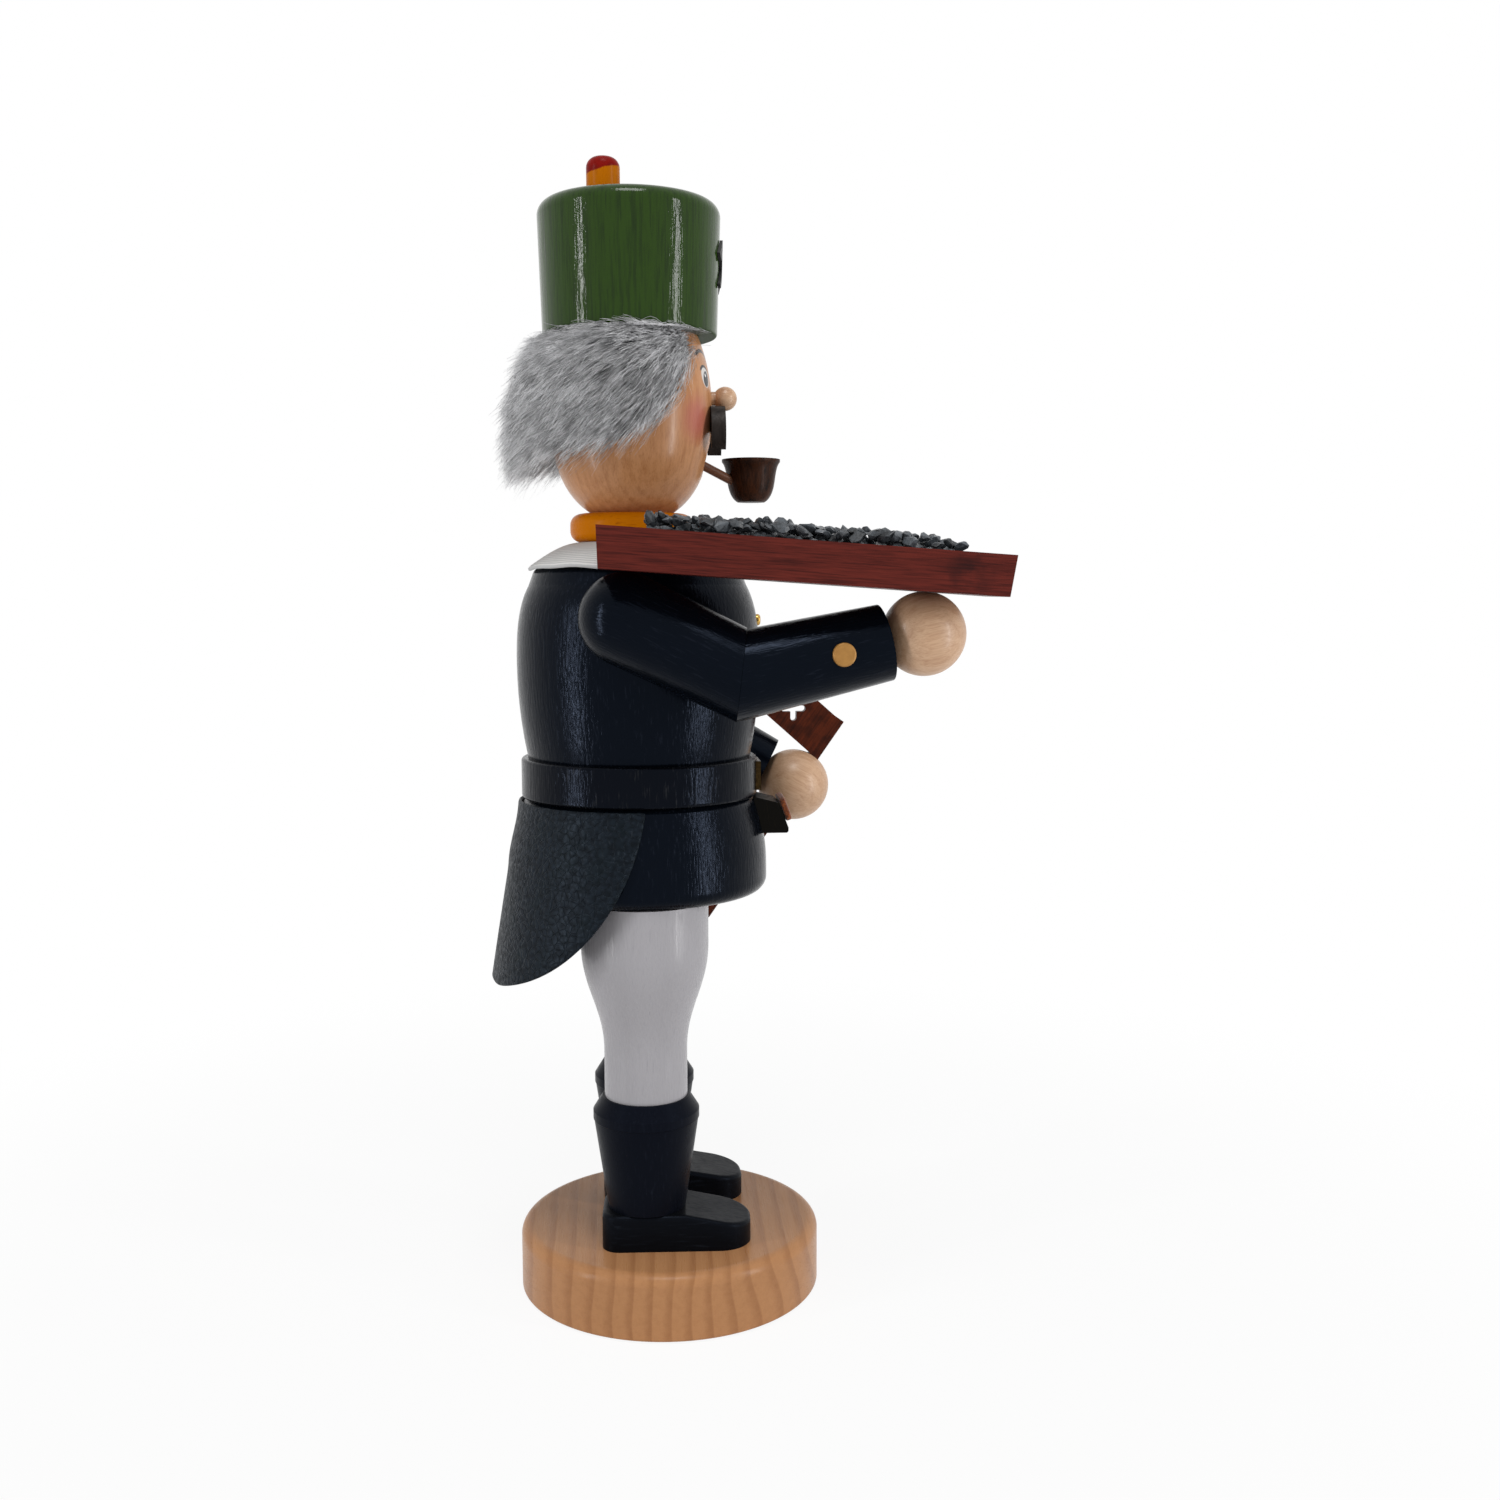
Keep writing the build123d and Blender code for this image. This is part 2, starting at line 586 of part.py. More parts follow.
# Neck ring
ring = Cylinder(RING_D / 2, RING_H, align=FROM_BASE)
ring = fillet(ring.edges(), RING_ROUND)
ring = ring - Cylinder(NECK_D / 2 + GLUE_GAP, RING_H, align=FROM_BASE)
nodes["neck_ring"] = at_neck * Pos(0, 0, ring_z) * ring


def head_profile(grow):
    """Curve of the head from chin to crown, larger all round by a gap."""
    return swell(
        (HEAD_CHIN_D / 2 + grow, 0), (HEAD_D / 2 + grow, HEAD_FULL_H),
        (HEAD_CROWN_D / 2 + grow, HEAD_H), tangents=[(1, 0.62), (-0.4, 1)])


def head_shape(grow):
    """Head without its bores, larger all round by a gap."""
    return turned(
        head_profile(grow),
        outline((HEAD_CROWN_D / 2 + grow, HEAD_H), (0, HEAD_H), (0, 0), (HEAD_CHIN_D / 2 + grow, 0)))


# Head with neck spigot, hat tenon and smoke way to the mouth
head_curve = head_profile(0)
head_form = head_shape(0)
neck_l = RING_H + COLLAR_T + NECK_SET
neck = Pos(0, 0, -neck_l) * Cylinder(NECK_D / 2, neck_l, align=FROM_BASE)
tenon = Pos(0, 0, HEAD_H) * Cylinder(TENON_D / 2, TENON_H, align=FROM_BASE)
smoke_way = Pos(0, 0, -neck_l) * Cylinder(SMOKE_D / 2, neck_l + MOUTH_UP + MOUTH_D / 2, align=FROM_BASE)
mouth = Pos(0, 0, MOUTH_UP) * Rot(90, 0, 0) * Cylinder(MOUTH_D / 2, HEAD_D, align=FROM_BASE)
at_head = at_neck * Pos(0, 0, head_z)
head = head_form + neck + tenon - smoke_way - mouth
nose_r = radius_at(head_curve, NOSE_UP)
nose_back = (0, NOSE_SET - nose_r, NOSE_UP)
nose_ball = (0, -nose_r - NOSE_OUT, NOSE_UP)
stem_r = math.sqrt(radius_at(head_curve, STEM_UP) ** 2 - STEM_ACROSS ** 2)
bowl_x = BOWL_ACROSS
bowl_y = -HEAD_D / 2 - BOWL_AHEAD
stem_in = Vector(STEM_ACROSS, -stem_r, STEM_UP)
stem_aim = Vector(bowl_x, bowl_y, BOWL_UP + BOWL_FLOOR)
stem_way = (stem_aim - stem_in).normalized()
stem_back = stem_in - stem_way * STEM_SET
stem_front = stem_aim - stem_way * (BOWL_BORE_D / 2 + BOWL_WALL / 2)
stem_hole = drilled(tuple(stem_back), tuple(stem_front), STEM_D)
head = head - drilled(nose_back, nose_ball, NOSE_STEM_D) - stem_hole
nodes["head"] = at_head * head
nodes["nose"] = at_head * (Pos(*nose_ball) * Sphere(NOSE_D / 2) + rod(nose_back, nose_ball, NOSE_STEM_D))

# Moustache: two drooping halves coped to the face
tache_low = TACHE_UP - TACHE_H
parting_top = TACHE_UP - TACHE_H * 0.25
parting_low = TACHE_UP - TACHE_H * 0.55
nose_room = Pos(*nose_ball) * Sphere(NOSE_D / 2 + GLUE_GAP)
half_w = TACHE_W / 2
for side, name in ((-1, "right"), (1, "left")):
    wing = Spline(
        (side * GLUE_GAP, parting_top), (side * half_w * 0.65, TACHE_UP),
        (side * half_w, TACHE_UP - TACHE_H * 0.45), (side * half_w * 0.86, tache_low))
    under = Spline(
        (side * half_w * 0.86, tache_low), (side * half_w * 0.55, TACHE_UP - TACHE_H * 0.62),
        (side * GLUE_GAP, parting_low))
    parting = Line((side * GLUE_GAP, parting_low), (side * GLUE_GAP, parting_top))
    half = make_face(wing.edges() + under.edges() + parting.edges())
    half = extrude(Plane.XZ.offset(HEAD_D / 2 - TACHE_SINK) * half, TACHE_T + TACHE_SINK)
    nodes["moustache_" + name] = at_head * (half - head_form - nose_room)

# Pipe
bowl_r = BOWL_D / 2
bore = BOWL_BORE_D / 2
waist_r = bore + BOWL_WALL
foot_r = BOWL_FOOT_D / 2
bowl_side = swell(
    (foot_r, 0), (waist_r, BOWL_H * 0.45), (bowl_r, BOWL_H * 0.94),
    tangents=[(1, 0.6), (0.9, 1)])
bowl = turned(
    bowl_side,
    outline((bowl_r, BOWL_H * 0.94), (bowl_r, BOWL_H), (bore, BOWL_H), (bore, BOWL_FLOOR + BOWL_WALL),
            (bore - BOWL_WALL, BOWL_FLOOR), (0, BOWL_FLOOR), (0, 0), (foot_r, 0)))
at_bowl = Pos(bowl_x, bowl_y, BOWL_UP)
bowl = at_bowl * bowl - stem_hole
nodes["pipe_bowl"] = at_head * bowl
nodes["pipe_stem"] = at_head * rod(tuple(stem_back), tuple(stem_front), STEM_D)

# Hat with its peg and crossed hammers
hat_form = turned(outline((0, 0), (HAT_D / 2, 0), (HAT_TOP_D / 2, HAT_H), (0, HAT_H), close=True))
hat_rim = hat_form.edges().group_by(Axis.Z)
hat_form = fillet(hat_rim[-1], HAT_ROUND)
hat_form = fillet(hat_form.edges().group_by(Axis.Z)[0], HAT_EDGE)
peg_foot = (0, PEG_BACK, HAT_H - PEG_SET)
peg_head = (0, PEG_BACK, HAT_H + PEG_H)
tenon_hole = Cylinder(TENON_D / 2 + GLUE_GAP, TENON_H + HOLE_END, align=FROM_BASE)
hat = hat_form - tenon_hole - drilled(peg_foot, peg_head, PEG_D)
at_hat = at_neck * Pos(0, 0, hat_z)
peg = rod(peg_foot, peg_head, PEG_D)
peg = fillet(peg.edges().group_by(Axis.Z)[-1], PEG_ROUND)
nodes["hat"] = at_hat * hat
nodes["hat_peg"] = at_hat * peg

hammer = Rectangle(HAMMER_HANDLE_W, HAMMER_L) + Pos(0, (HAMMER_L - HAMMER_HEAD_H) / 2) * Rectangle(
    HAMMER_HEAD_L, HAMMER_HEAD_H)
crossed = Rot(0, 0, 45) * hammer + Rot(0, 0, -45) * hammer
badge = extrude(Plane.XZ * Pos(0, EMBLEM_UP) * crossed, HAT_TOP_D)
plate_in = GLUE_GAP
plate_out = GLUE_GAP + EMBLEM_T
hat_skin = turned(outline(
    (HAT_D / 2 + plate_in, 0), (HAT_D / 2 + plate_out, 0), (HAT_TOP_D / 2 + plate_out, HAT_H),
    (HAT_TOP_D / 2 + plate_in, HAT_H), close=True))
nodes["hat_emblem"] = at_hat * (badge & hat_skin)

# Hair: a soft mass from temple to temple round the back, under the hat
hair_top = HEAD_H + HAIR_ON_HAT
hair_low = HAIR_LOW - HAIR_TRIM
hair_curve = swell(
    (HAIR_D / 2 * 0.8, hair_low), (HAIR_D / 2, HEAD_FULL_H * 0.8), (HAIR_CROWN_D / 2, hair_top),
    tangents=[(1, 1), (-0.5, 1)])
hair = turned(
    hair_curve,
    outline((HAIR_CROWN_D / 2, hair_top), (0, hair_top), (0, hair_low), (HAIR_D / 2 * 0.8, hair_low)))
hair_line = Spline(
    (-HEAD_D / 2 * 0.82, hair_top), (-HEAD_D / 2 * 0.54, HEAD_H * 0.62),
    (HEAD_D / 2 * 0.2, HEAD_H * 0.415), (HAIR_D, hair_low))
hair_back = Polyline((HAIR_D, hair_low), (HAIR_D, hair_top), (-HEAD_D / 2 * 0.82, hair_top))
hair_side = extrude(Plane.YZ * make_face(hair_line.edges() + hair_back.edges()), REACH / 2, both=True)
head_room = head_shape(HAIR_GAP)
hat_room = Pos(0, 0, HEAD_H - HAIR_GAP) * Cylinder(HAT_TOP_D / 2 + HAIR_GAP, HAT_H, align=FROM_BASE)
hair = (Pos(0, HAIR_BACK, 0) * hair) & hair_side
nodes["hair"] = at_head * (hair - head_room - hat_room)

# Tray frame: its underside is tangent to the right shoulder
pitch = math.radians(TRAY_PITCH)
tray_up = Vector(0, -math.sin(pitch), math.cos(pitch))
tray_back = Vector(0, math.cos(pitch), math.sin(pitch))
shoulder_y = AXIS_BACK + SHOULDER_BACK
shoulder_z = torso_top - SHOULDER_BELOW
tray_x = -(COLLAR_D / 2 + TRAY_CLEAR + TRAY_W / 2)
under_tray = Vector(tray_x, shoulder_y, shoulder_z) + tray_up * (SHOULDER_ARM_D / 2 + TRAY_REST)

# Right hand: a ball whose flat top carries the tray
right_elbow = Vector(-ARM_X - ELBOW_OUT, shoulder_y - RIGHT_ELBOW_AHEAD, shoulder_z - RIGHT_ELBOW_DROP)
hand_y = right_elbow.Y - RIGHT_HAND_AHEAD
hand_below = (HAND_D / 2 - HAND_FLAT + GLUE_GAP) / math.cos(pitch)
hand_z = under_tray.Z + (hand_y - under_tray.Y) * math.tan(pitch) - hand_below
right_hand = Vector(right_elbow.X + RIGHT_HAND_IN, hand_y, hand_z)
left_elbow = Vector(ARM_X + ELBOW_OUT, shoulder_y - LEFT_ELBOW_AHEAD, shoulder_z - LEFT_ELBOW_DROP)
left_hand = left_elbow + Vector(-LEFT_HAND_IN, -LEFT_HAND_AHEAD, -LEFT_HAND_DROP)

cuff_buttons = []
arms = ((-1, "right", right_elbow, right_hand), (1, "left", left_elbow, left_hand))
for side, name, elbow, hand in arms:
    shoulder = Vector(side * ARM_X, shoulder_y, shoulder_z)
    upper_way = (elbow - shoulder).normalized()
    lower_way = (hand - elbow).normalized()
    mitre = (upper_way + lower_way).normalized()
    upper_l = (elbow - shoulder).length
    lower_l = (hand - elbow).length - CUFF_TO_HAND
    spare = ELBOW_D / 2

    # Upper arm: rounded at the shoulder, mitred at the elbow and coped to the torso
    upper = Plane(origin=shoulder, z_dir=upper_way) * Cone(
        SHOULDER_ARM_D / 2, ELBOW_D / 2, upper_l, align=FROM_BASE)
    upper = upper + Plane(origin=elbow, z_dir=upper_way) * Cylinder(ELBOW_D / 2, spare, align=FROM_BASE)
    upper = upper + Pos(*shoulder) * Sphere(SHOULDER_ARM_D / 2)
    upper = upper - beyond(tuple(elbow), mitre) - arm_seat

    # Forearm: mitred at the elbow, tapering to the cuff
    cuff = elbow + lower_way * lower_l
    lower = Plane(origin=elbow, z_dir=lower_way) * Cone(
        ELBOW_D / 2, CUFF_D / 2, lower_l, align=FROM_BASE)
    lower = lower + Plane(origin=elbow, z_dir=lower_way * -1) * Cylinder(
        ELBOW_D / 2, spare, align=FROM_BASE)
    lower = lower - beyond(tuple(elbow + mitre * GLUE_GAP), mitre * -1)

    # Dowels at shoulder, elbow and wrist
    wall_x = side * (bore_r + SHOULDER_DOWEL_IN)
    arm_x = side * (ARM_X + SHOULDER_DOWEL_OUT)
    shoulder_pin = ((wall_x, shoulder_y, shoulder_z), (arm_x, shoulder_y, shoulder_z))
    half_pin = ARM_DOWEL_L / 2
    elbow_pin = (tuple(elbow - mitre * half_pin), tuple(elbow + mitre * half_pin))
    wrist_pin = (tuple(cuff - lower_way * half_pin), tuple(cuff + lower_way * half_pin))
    torso = torso - drilled(*shoulder_pin, ARM_DOWEL_D)
    upper = upper - drilled(*shoulder_pin, ARM_DOWEL_D) - drilled(*elbow_pin, ARM_DOWEL_D)
    lower = lower - drilled(*elbow_pin, ARM_DOWEL_D) - drilled(*wrist_pin, ARM_DOWEL_D)

    # Cuff button in a spot-faced seat on the outer side of the sleeve
    outer = (Vector(side, 0, 0) - lower_way * lower_way.dot(Vector(side, 0, 0))).normalized()
    taper = (ELBOW_D - CUFF_D) / 2 * CUFF_BUTTON_BACK / lower_l
    button_at = cuff - lower_way * CUFF_BUTTON_BACK + outer * (CUFF_D / 2 + taper - CUFF_BUTTON_SINK)
    button_frame = Plane(origin=button_at, z_dir=outer)
    lower = lower - button_frame * Cylinder(
        CUFF_BUTTON_D / 2 + GLUE_GAP, 2 * CUFF_BUTTON_T, align=FROM_BASE)
    stud = Cylinder(CUFF_BUTTON_D / 2, CUFF_BUTTON_T, align=FROM_BASE)
    cuff_buttons.append(button_frame * fillet(stud.edges().group_by(Axis.Z)[-1], CUFF_BUTTON_T / 3))

    ball = Pos(*hand) * Sphere(HAND_D / 2) - beyond(tuple(cuff + lower_way * GLUE_GAP), lower_way * -1)
    ball = ball - drilled(*wrist_pin, ARM_DOWEL_D)
    nodes[name + "_upper_arm"] = upper
    nodes[name + "_forearm"] = lower
    nodes[name + "_hand"] = ball
    nodes[name + "_shoulder_dowel"] = rod(*shoulder_pin, ARM_DOWEL_D)
    nodes[name + "_elbow_dowel"] = rod(*elbow_pin, ARM_DOWEL_D)
    nodes[name + "_wrist_dowel"] = rod(*wrist_pin, ARM_DOWEL_D)
nodes["torso"] = torso
nodes["cuff_buttons"] = Compound(children=cuff_buttons)
nodes["right_hand"] = nodes["right_hand"] - beyond(tuple(under_tray - tray_up * GLUE_GAP), tray_up)

# Ore trough: flared ends between two sides, floor inside
tray_side_plane = Plane(origin=under_tray, x_dir=tray_back, z_dir=(1, 0, 0))
flare = math.tan(math.radians(TRAY_FLARE))
end_t = TRAY_BOARD / math.cos(math.radians(TRAY_FLARE))
tray_front = TRAY_BEHIND - TRAY_L
inner_w = TRAY_W - 2 * TRAY_BOARD - 2 * GLUE_GAP


def tray_board(low, high, inset, width, x):
    """Board with flared ends between two heights, set in from the ends, at a place across the tray."""
    face = make_face(Polyline(
        (tray_front - low * flare + inset, low), (TRAY_BEHIND + low * flare - inset, low),
        (TRAY_BEHIND + high * flare - inset, high), (tray_front - high * flare + inset, high),
        close=True).edges())
    return Pos(x, 0, 0) * extrude(tray_side_plane * face, width / 2, both=True)


side_x = (TRAY_W - TRAY_BOARD) / 2
end_in = end_t + GLUE_GAP
walls = tray_board(0, TRAY_H, 0, inner_w, 0) - tray_board(0, TRAY_H, end_t, inner_w, 0)
walls = walls.solids().sort_by(Axis.Y)
nodes["tray_outer_side"] = tray_board(0, TRAY_H, 0, TRAY_BOARD, -side_x)
nodes["tray_inner_side"] = tray_board(0, TRAY_H, 0, TRAY_BOARD, side_x)
nodes["tray_front_end"] = walls[0]
nodes["tray_rear_end"] = walls[-1]
nodes["tray_floor"] = tray_board(0, TRAY_BOARD, end_in, inner_w, 0)

# Ore: a bed below the rim and broken lumps on it
bed_top = TRAY_H - ORE_BELOW_RIM
nodes["ore_bed"] = tray_board(TRAY_BOARD + GLUE_GAP, bed_top, end_in, inner_w, 0)
tray_plane = Plane(origin=under_tray, x_dir=(1, 0, 0), z_dir=tray_up)
columns = int(inner_w / ORE_PITCH)
rows = int((TRAY_L - 4 * TRAY_BOARD) / ORE_PITCH)
middle_y = (TRAY_BEHIND + tray_front) / 2
above_bed = Pos(0, 0, bed_top + GLUE_GAP) * Box(REACH, REACH, REACH, align=FROM_BASE)
lumps = []
for row in range(rows):
    for column in range(columns):
        number = row * columns + column
        along = (row - (rows - 1) / 2) / (rows / 2)
        across = (column - (columns - 1) / 2) / (columns / 2)
        heap = ORE_HEAP * (1 - 0.45 * along ** 4) * (1 - 0.35 * across ** 2)
        tall = heap * (0.86 + 0.14 * math.sin(number * 2.4))
        turn = number * ORE_TURN
        tip = ORE_TIP * math.sin(number * 1.7)
        roll = ORE_TIP * math.cos(number * 2.3)
        rough = Rot(tip, roll, turn) * Box(ORE_PITCH * 0.6, ORE_PITCH * 0.66, tall * 1.7)
        chip = Rot(-roll, tip + 30, turn + 40) * Box(ORE_PITCH * 0.78, ORE_PITCH * 0.74, tall * 1.5)
        lump_x = (column - (columns - 1) / 2) * ORE_PITCH
        lump_y = middle_y + (row - (rows - 1) / 2) * ORE_PITCH
        lump_at = Pos(lump_x, lump_y, bed_top)
        cell = lump_at * Box(ORE_PITCH - 2 * GLUE_GAP, ORE_PITCH - 2 * GLUE_GAP, REACH)
        lumps += ((lump_at * (rough & chip)) & cell & above_bed).solids()
nodes["ore_lumps"] = tray_plane * Compound(children=lumps)

# Parade axe: one fretted board whose handle passes through the left hand
lean = math.radians(AXE_LEAN)
down = Vector(math.cos(lean), -math.sin(lean))
rear = Vector(math.sin(lean), math.cos(lean))
lift = math.radians(AXE_BLADE_LIFT)
blade_way = rear * math.cos(lift) - down * math.sin(lift)
half_handle = AXE_HANDLE_W / 2
axe_plane = Plane(origin=left_hand, x_dir=(0, 1, 0), z_dir=(1, 0, 0))


def on_axe(along, across):
    """Point down the handle from the hand and back from its centre line."""
    point = down * along + rear * across
    return (point.X, point.Y)


def on_blade(along, out):
    """Point on the blade: down the handle, then out along the blade."""
    root = down * along + rear * half_handle
    point = root + blade_way * out
    return (point.X, point.Y)


blade_low = -HAND_D / 2 - AXE_HAND_GAP
blade_top = blade_low - AXE_BLADE_W
blade_mid = (blade_top + blade_low) / 2
handle_face = make_face(Polyline(
    on_axe(blade_top, -half_handle), on_axe(AXE_BELOW_HAND, -half_handle),
    on_axe(AXE_BELOW_HAND, half_handle), on_axe(blade_top, half_handle), close=True).edges())
edge_arc = ThreePointArc(
    on_blade(blade_low, AXE_BLADE_L),
    on_blade(blade_mid, AXE_BLADE_L * 1.12),
    on_blade(blade_top, AXE_BLADE_L))
blade_sides = Polyline(
    on_blade(blade_top, AXE_BLADE_L), on_blade(blade_top, -half_handle),
    on_blade(blade_low, -half_handle), on_blade(blade_low, AXE_BLADE_L))
blade_face = make_face(edge_arc.edges() + blade_sides.edges())
eye_out = AXE_BLADE_L * 0.48
arm = SlotOverall(AXE_EYE_L, AXE_EYE_W)
eye = Pos(*on_blade(blade_mid, eye_out)) * (arm + Rot(0, 0, 90) * arm)
axe_face = handle_face + blade_face - eye
nodes["parade_axe"] = extrude(axe_plane * axe_face, AXE_T / 2, both=True)
handle_way = axe_plane * Rot(0, 0, -AXE_LEAN) * Box(
    REACH, AXE_HANDLE_W + 2 * GLUE_GAP, AXE_T + 2 * GLUE_GAP)
nodes["left_hand"] = nodes["left_hand"] - handle_way

os.makedirs("parts", exist_ok=True)
for node, shape in nodes.items():
    export_step(shape, "parts/" + node + ".step")
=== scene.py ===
import math
import random

import bmesh
import bpy
from mathutils import Matrix, Vector
from mathutils.bvhtree import BVHTree
from mathutils.kdtree import KDTree


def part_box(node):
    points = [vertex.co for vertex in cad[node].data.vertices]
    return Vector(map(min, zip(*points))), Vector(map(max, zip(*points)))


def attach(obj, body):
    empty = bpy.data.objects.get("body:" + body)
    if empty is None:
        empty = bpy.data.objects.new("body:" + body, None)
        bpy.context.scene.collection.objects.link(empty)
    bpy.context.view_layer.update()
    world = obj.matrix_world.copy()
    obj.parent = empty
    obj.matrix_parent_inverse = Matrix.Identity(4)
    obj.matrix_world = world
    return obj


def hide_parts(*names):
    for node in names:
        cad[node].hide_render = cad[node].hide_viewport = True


# Turned wooden incense smoker: a miner with an ore trough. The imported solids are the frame;
# this script gives them their finishes and makes the hair, cloth, leather, suede and ore.
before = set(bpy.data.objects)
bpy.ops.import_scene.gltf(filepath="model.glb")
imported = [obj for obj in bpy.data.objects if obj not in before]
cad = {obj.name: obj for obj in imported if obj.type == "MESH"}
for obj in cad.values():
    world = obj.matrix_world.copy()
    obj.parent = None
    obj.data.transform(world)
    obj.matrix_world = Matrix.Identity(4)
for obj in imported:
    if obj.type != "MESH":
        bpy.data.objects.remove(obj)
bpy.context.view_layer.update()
scene = bpy.context.scene
scene.view_settings.view_transform = "Standard"

MM = 0.001
SEED = 1887
UP = Vector((0, 0, 1))
BACK = Vector((0, 1, 0))
WHITE = (1, 1, 1, 1)


def rgb(red, green, blue):
    """Linear colour of an 8-bit sRGB one."""
    linear = []
    for value in (red, green, blue):
        share = value / 255
        linear.append(share / 12.92 if share <= 0.04045 else ((share + 0.055) / 1.055) ** 2.4)
    return (*linear, 1.0)


def corners(node):
    """Low and high corner of a CAD node's box."""
    low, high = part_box(node)
    return Vector(low), Vector(high)


def middle(node):
    """Centre of a CAD node's box."""
    low, high = corners(node)
    return (low + high) / 2


def held(value, low=0.0, high=1.0):
    """Value kept between two limits."""
    return max(low, min(high, value))


class Shade:
    """A node material in the shared frame's metres, built by short calls."""

    def __init__(self, name, sockets):
        self.material = bpy.data.materials.new(name)
        self.material.use_nodes = True
        self.tree = self.material.node_tree
        self.shader = self.tree.nodes["Principled BSDF"]
        for socket, value in sockets.items():
            self.shader.inputs[socket].default_value = value
        self.place = self.add("TexCoord").outputs["Object"]
        self.colour = None
        self.rough = None
        self.normal = None

    def add(self, kind):
        return self.tree.nodes.new("ShaderNode" + kind)

    def feed(self, socket, value):
        if isinstance(value, bpy.types.NodeSocket):
            self.tree.links.new(value, socket)
        else:
            socket.default_value = value

    def math(self, operation, first, second=0.0, clamp=False):
        node = self.add("Math")
        node.operation = operation
        node.use_clamp = clamp
        self.feed(node.inputs[0], first)
        self.feed(node.inputs[1], second)
        return node.outputs[0]

    def plus(self, first, second, share):
        """First value with a share of the second added."""
        return self.math("ADD", first, self.math("MULTIPLY", second, share))

    def vector_math(self, operation, place, other):
        node = self.add("VectorMath")
        node.operation = operation
        self.feed(node.inputs[0], place)
        node.inputs[1].default_value = other
        return node.outputs

    def scaled(self, place, factors):
        return self.vector_math("MULTIPLY", place, factors)["Vector"]

    def distance(self, place, point):
        return self.vector_math("DISTANCE", place, point)["Value"]

    def axes(self, place):
        node = self.add("SeparateXYZ")
        self.feed(node.inputs[0], place)
        return node.outputs

    def radius(self, x, y, centre=(0.0, 0.0)):
        """How far two coordinates are from a centre."""
        off_x = self.math("SUBTRACT", x, centre[0])
        off_y = self.math("SUBTRACT", y, centre[1])
        square = self.math("ADD", self.math("MULTIPLY", off_x, off_x), self.math("MULTIPLY", off_y, off_y))
        return self.math("SQRT", square)

    def local(self, node_name, along):
        """Place about a CAD node's centre, with Z turned along the grain."""
        node = self.add("Mapping")
        node.vector_type = "TEXTURE"
        node.inputs["Location"].default_value = middle(node_name)
        node.inputs["Rotation"].default_value = Vector(along).to_track_quat("Z", "Y").to_euler()
        self.feed(node.inputs["Vector"], self.place)
        return node.outputs[0]

    def noise(self, place, size, detail=2.0, roughness=0.5):
        node = self.add("TexNoise")
        self.feed(node.inputs["Vector"], place)
        node.inputs["Scale"].default_value = 1 / size
        node.inputs["Detail"].default_value = detail
        node.inputs["Roughness"].default_value = roughness
        return node.outputs[0]

    def cells(self, place, size, feature):
        node = self.add("TexVoronoi")
        node.feature = feature
        self.feed(node.inputs["Vector"], place)
        node.inputs["Scale"].default_value = 1 / size
        return node.outputs["Distance"]

    def attribute(self, name):
        node = self.add("Attribute")
        node.attribute_name = name
        return node.outputs["Fac"]

    def rise(self, value, low, high, start=0.0, end=1.0):
        """Smooth change from start to end while value goes from low to high."""
        node = self.add("MapRange")
        node.interpolation_type = "SMOOTHSTEP"
        self.feed(node.inputs["Value"], value)
        for socket, number in (("From Min", low), ("From Max", high), ("To Min", start), ("To Max", end)):
            node.inputs[socket].default_value = number
        return node.outputs["Result"]

    def mix(self, factor, first, second):
        """Colour between two; 6, 7 and 2 are the Mix node's colour sockets."""
        node = self.add("Mix")
        node.data_type = "RGBA"
        self.feed(node.inputs[0], factor)
        self.feed(node.inputs[6], first)
        self.feed(node.inputs[7], second)
        return node.outputs[2]

    def bump(self, height, depth):
        node = self.add("Bump")
        node.inputs["Distance"].default_value = depth
        self.feed(node.inputs["Height"], height)
        return node.outputs[0]

    def fibres(self, place, across, along, detail=3.0):
        """Noise drawn out along the local Z, as wood fibres are."""
        return self.noise(self.scaled(place, (1, 1, across / along)), across, detail, 0.6)

    def rings(self, place, pith, spacing):
        """Late wood of growth rings round a pith beside the piece: 0 between, 1 on a ring."""
        wander = self.noise(self.scaled(place, (1, 1, 0.2)), 26 * MM, 1)
        x, y, _ = self.axes(place)
        radius = self.plus(self.radius(x, y, pith), wander, 2.5 * spacing)
        share = self.math("FRACT", self.math("DIVIDE", radius, spacing))
        return self.math("MULTIPLY", self.rise(share, 0.42, 0.88), self.rise(share, 0.9, 1.0, 1.0, 0.0))

    def paint(self, share, colour):
        """Lays a share of a colour over the finish so far."""
        self.colour = self.mix(share, self.colour, colour)

    def finish(self):
        """Feeds what was built to the shader and gives the material."""
        built = {"Base Color": self.colour, "Roughness": self.rough, "Normal": self.normal}
        for socket, value in built.items():
            if value is not None:
                self.feed(self.shader.inputs[socket], value)
        return self.material


def dress(material, *names):
    """Gives CAD nodes a finish."""
    for name in names:
        cad[name].data.materials.clear()
        cad[name].data.materials.append(material)


# Two kinds of wood finish, with the grain set about a CAD node's centre

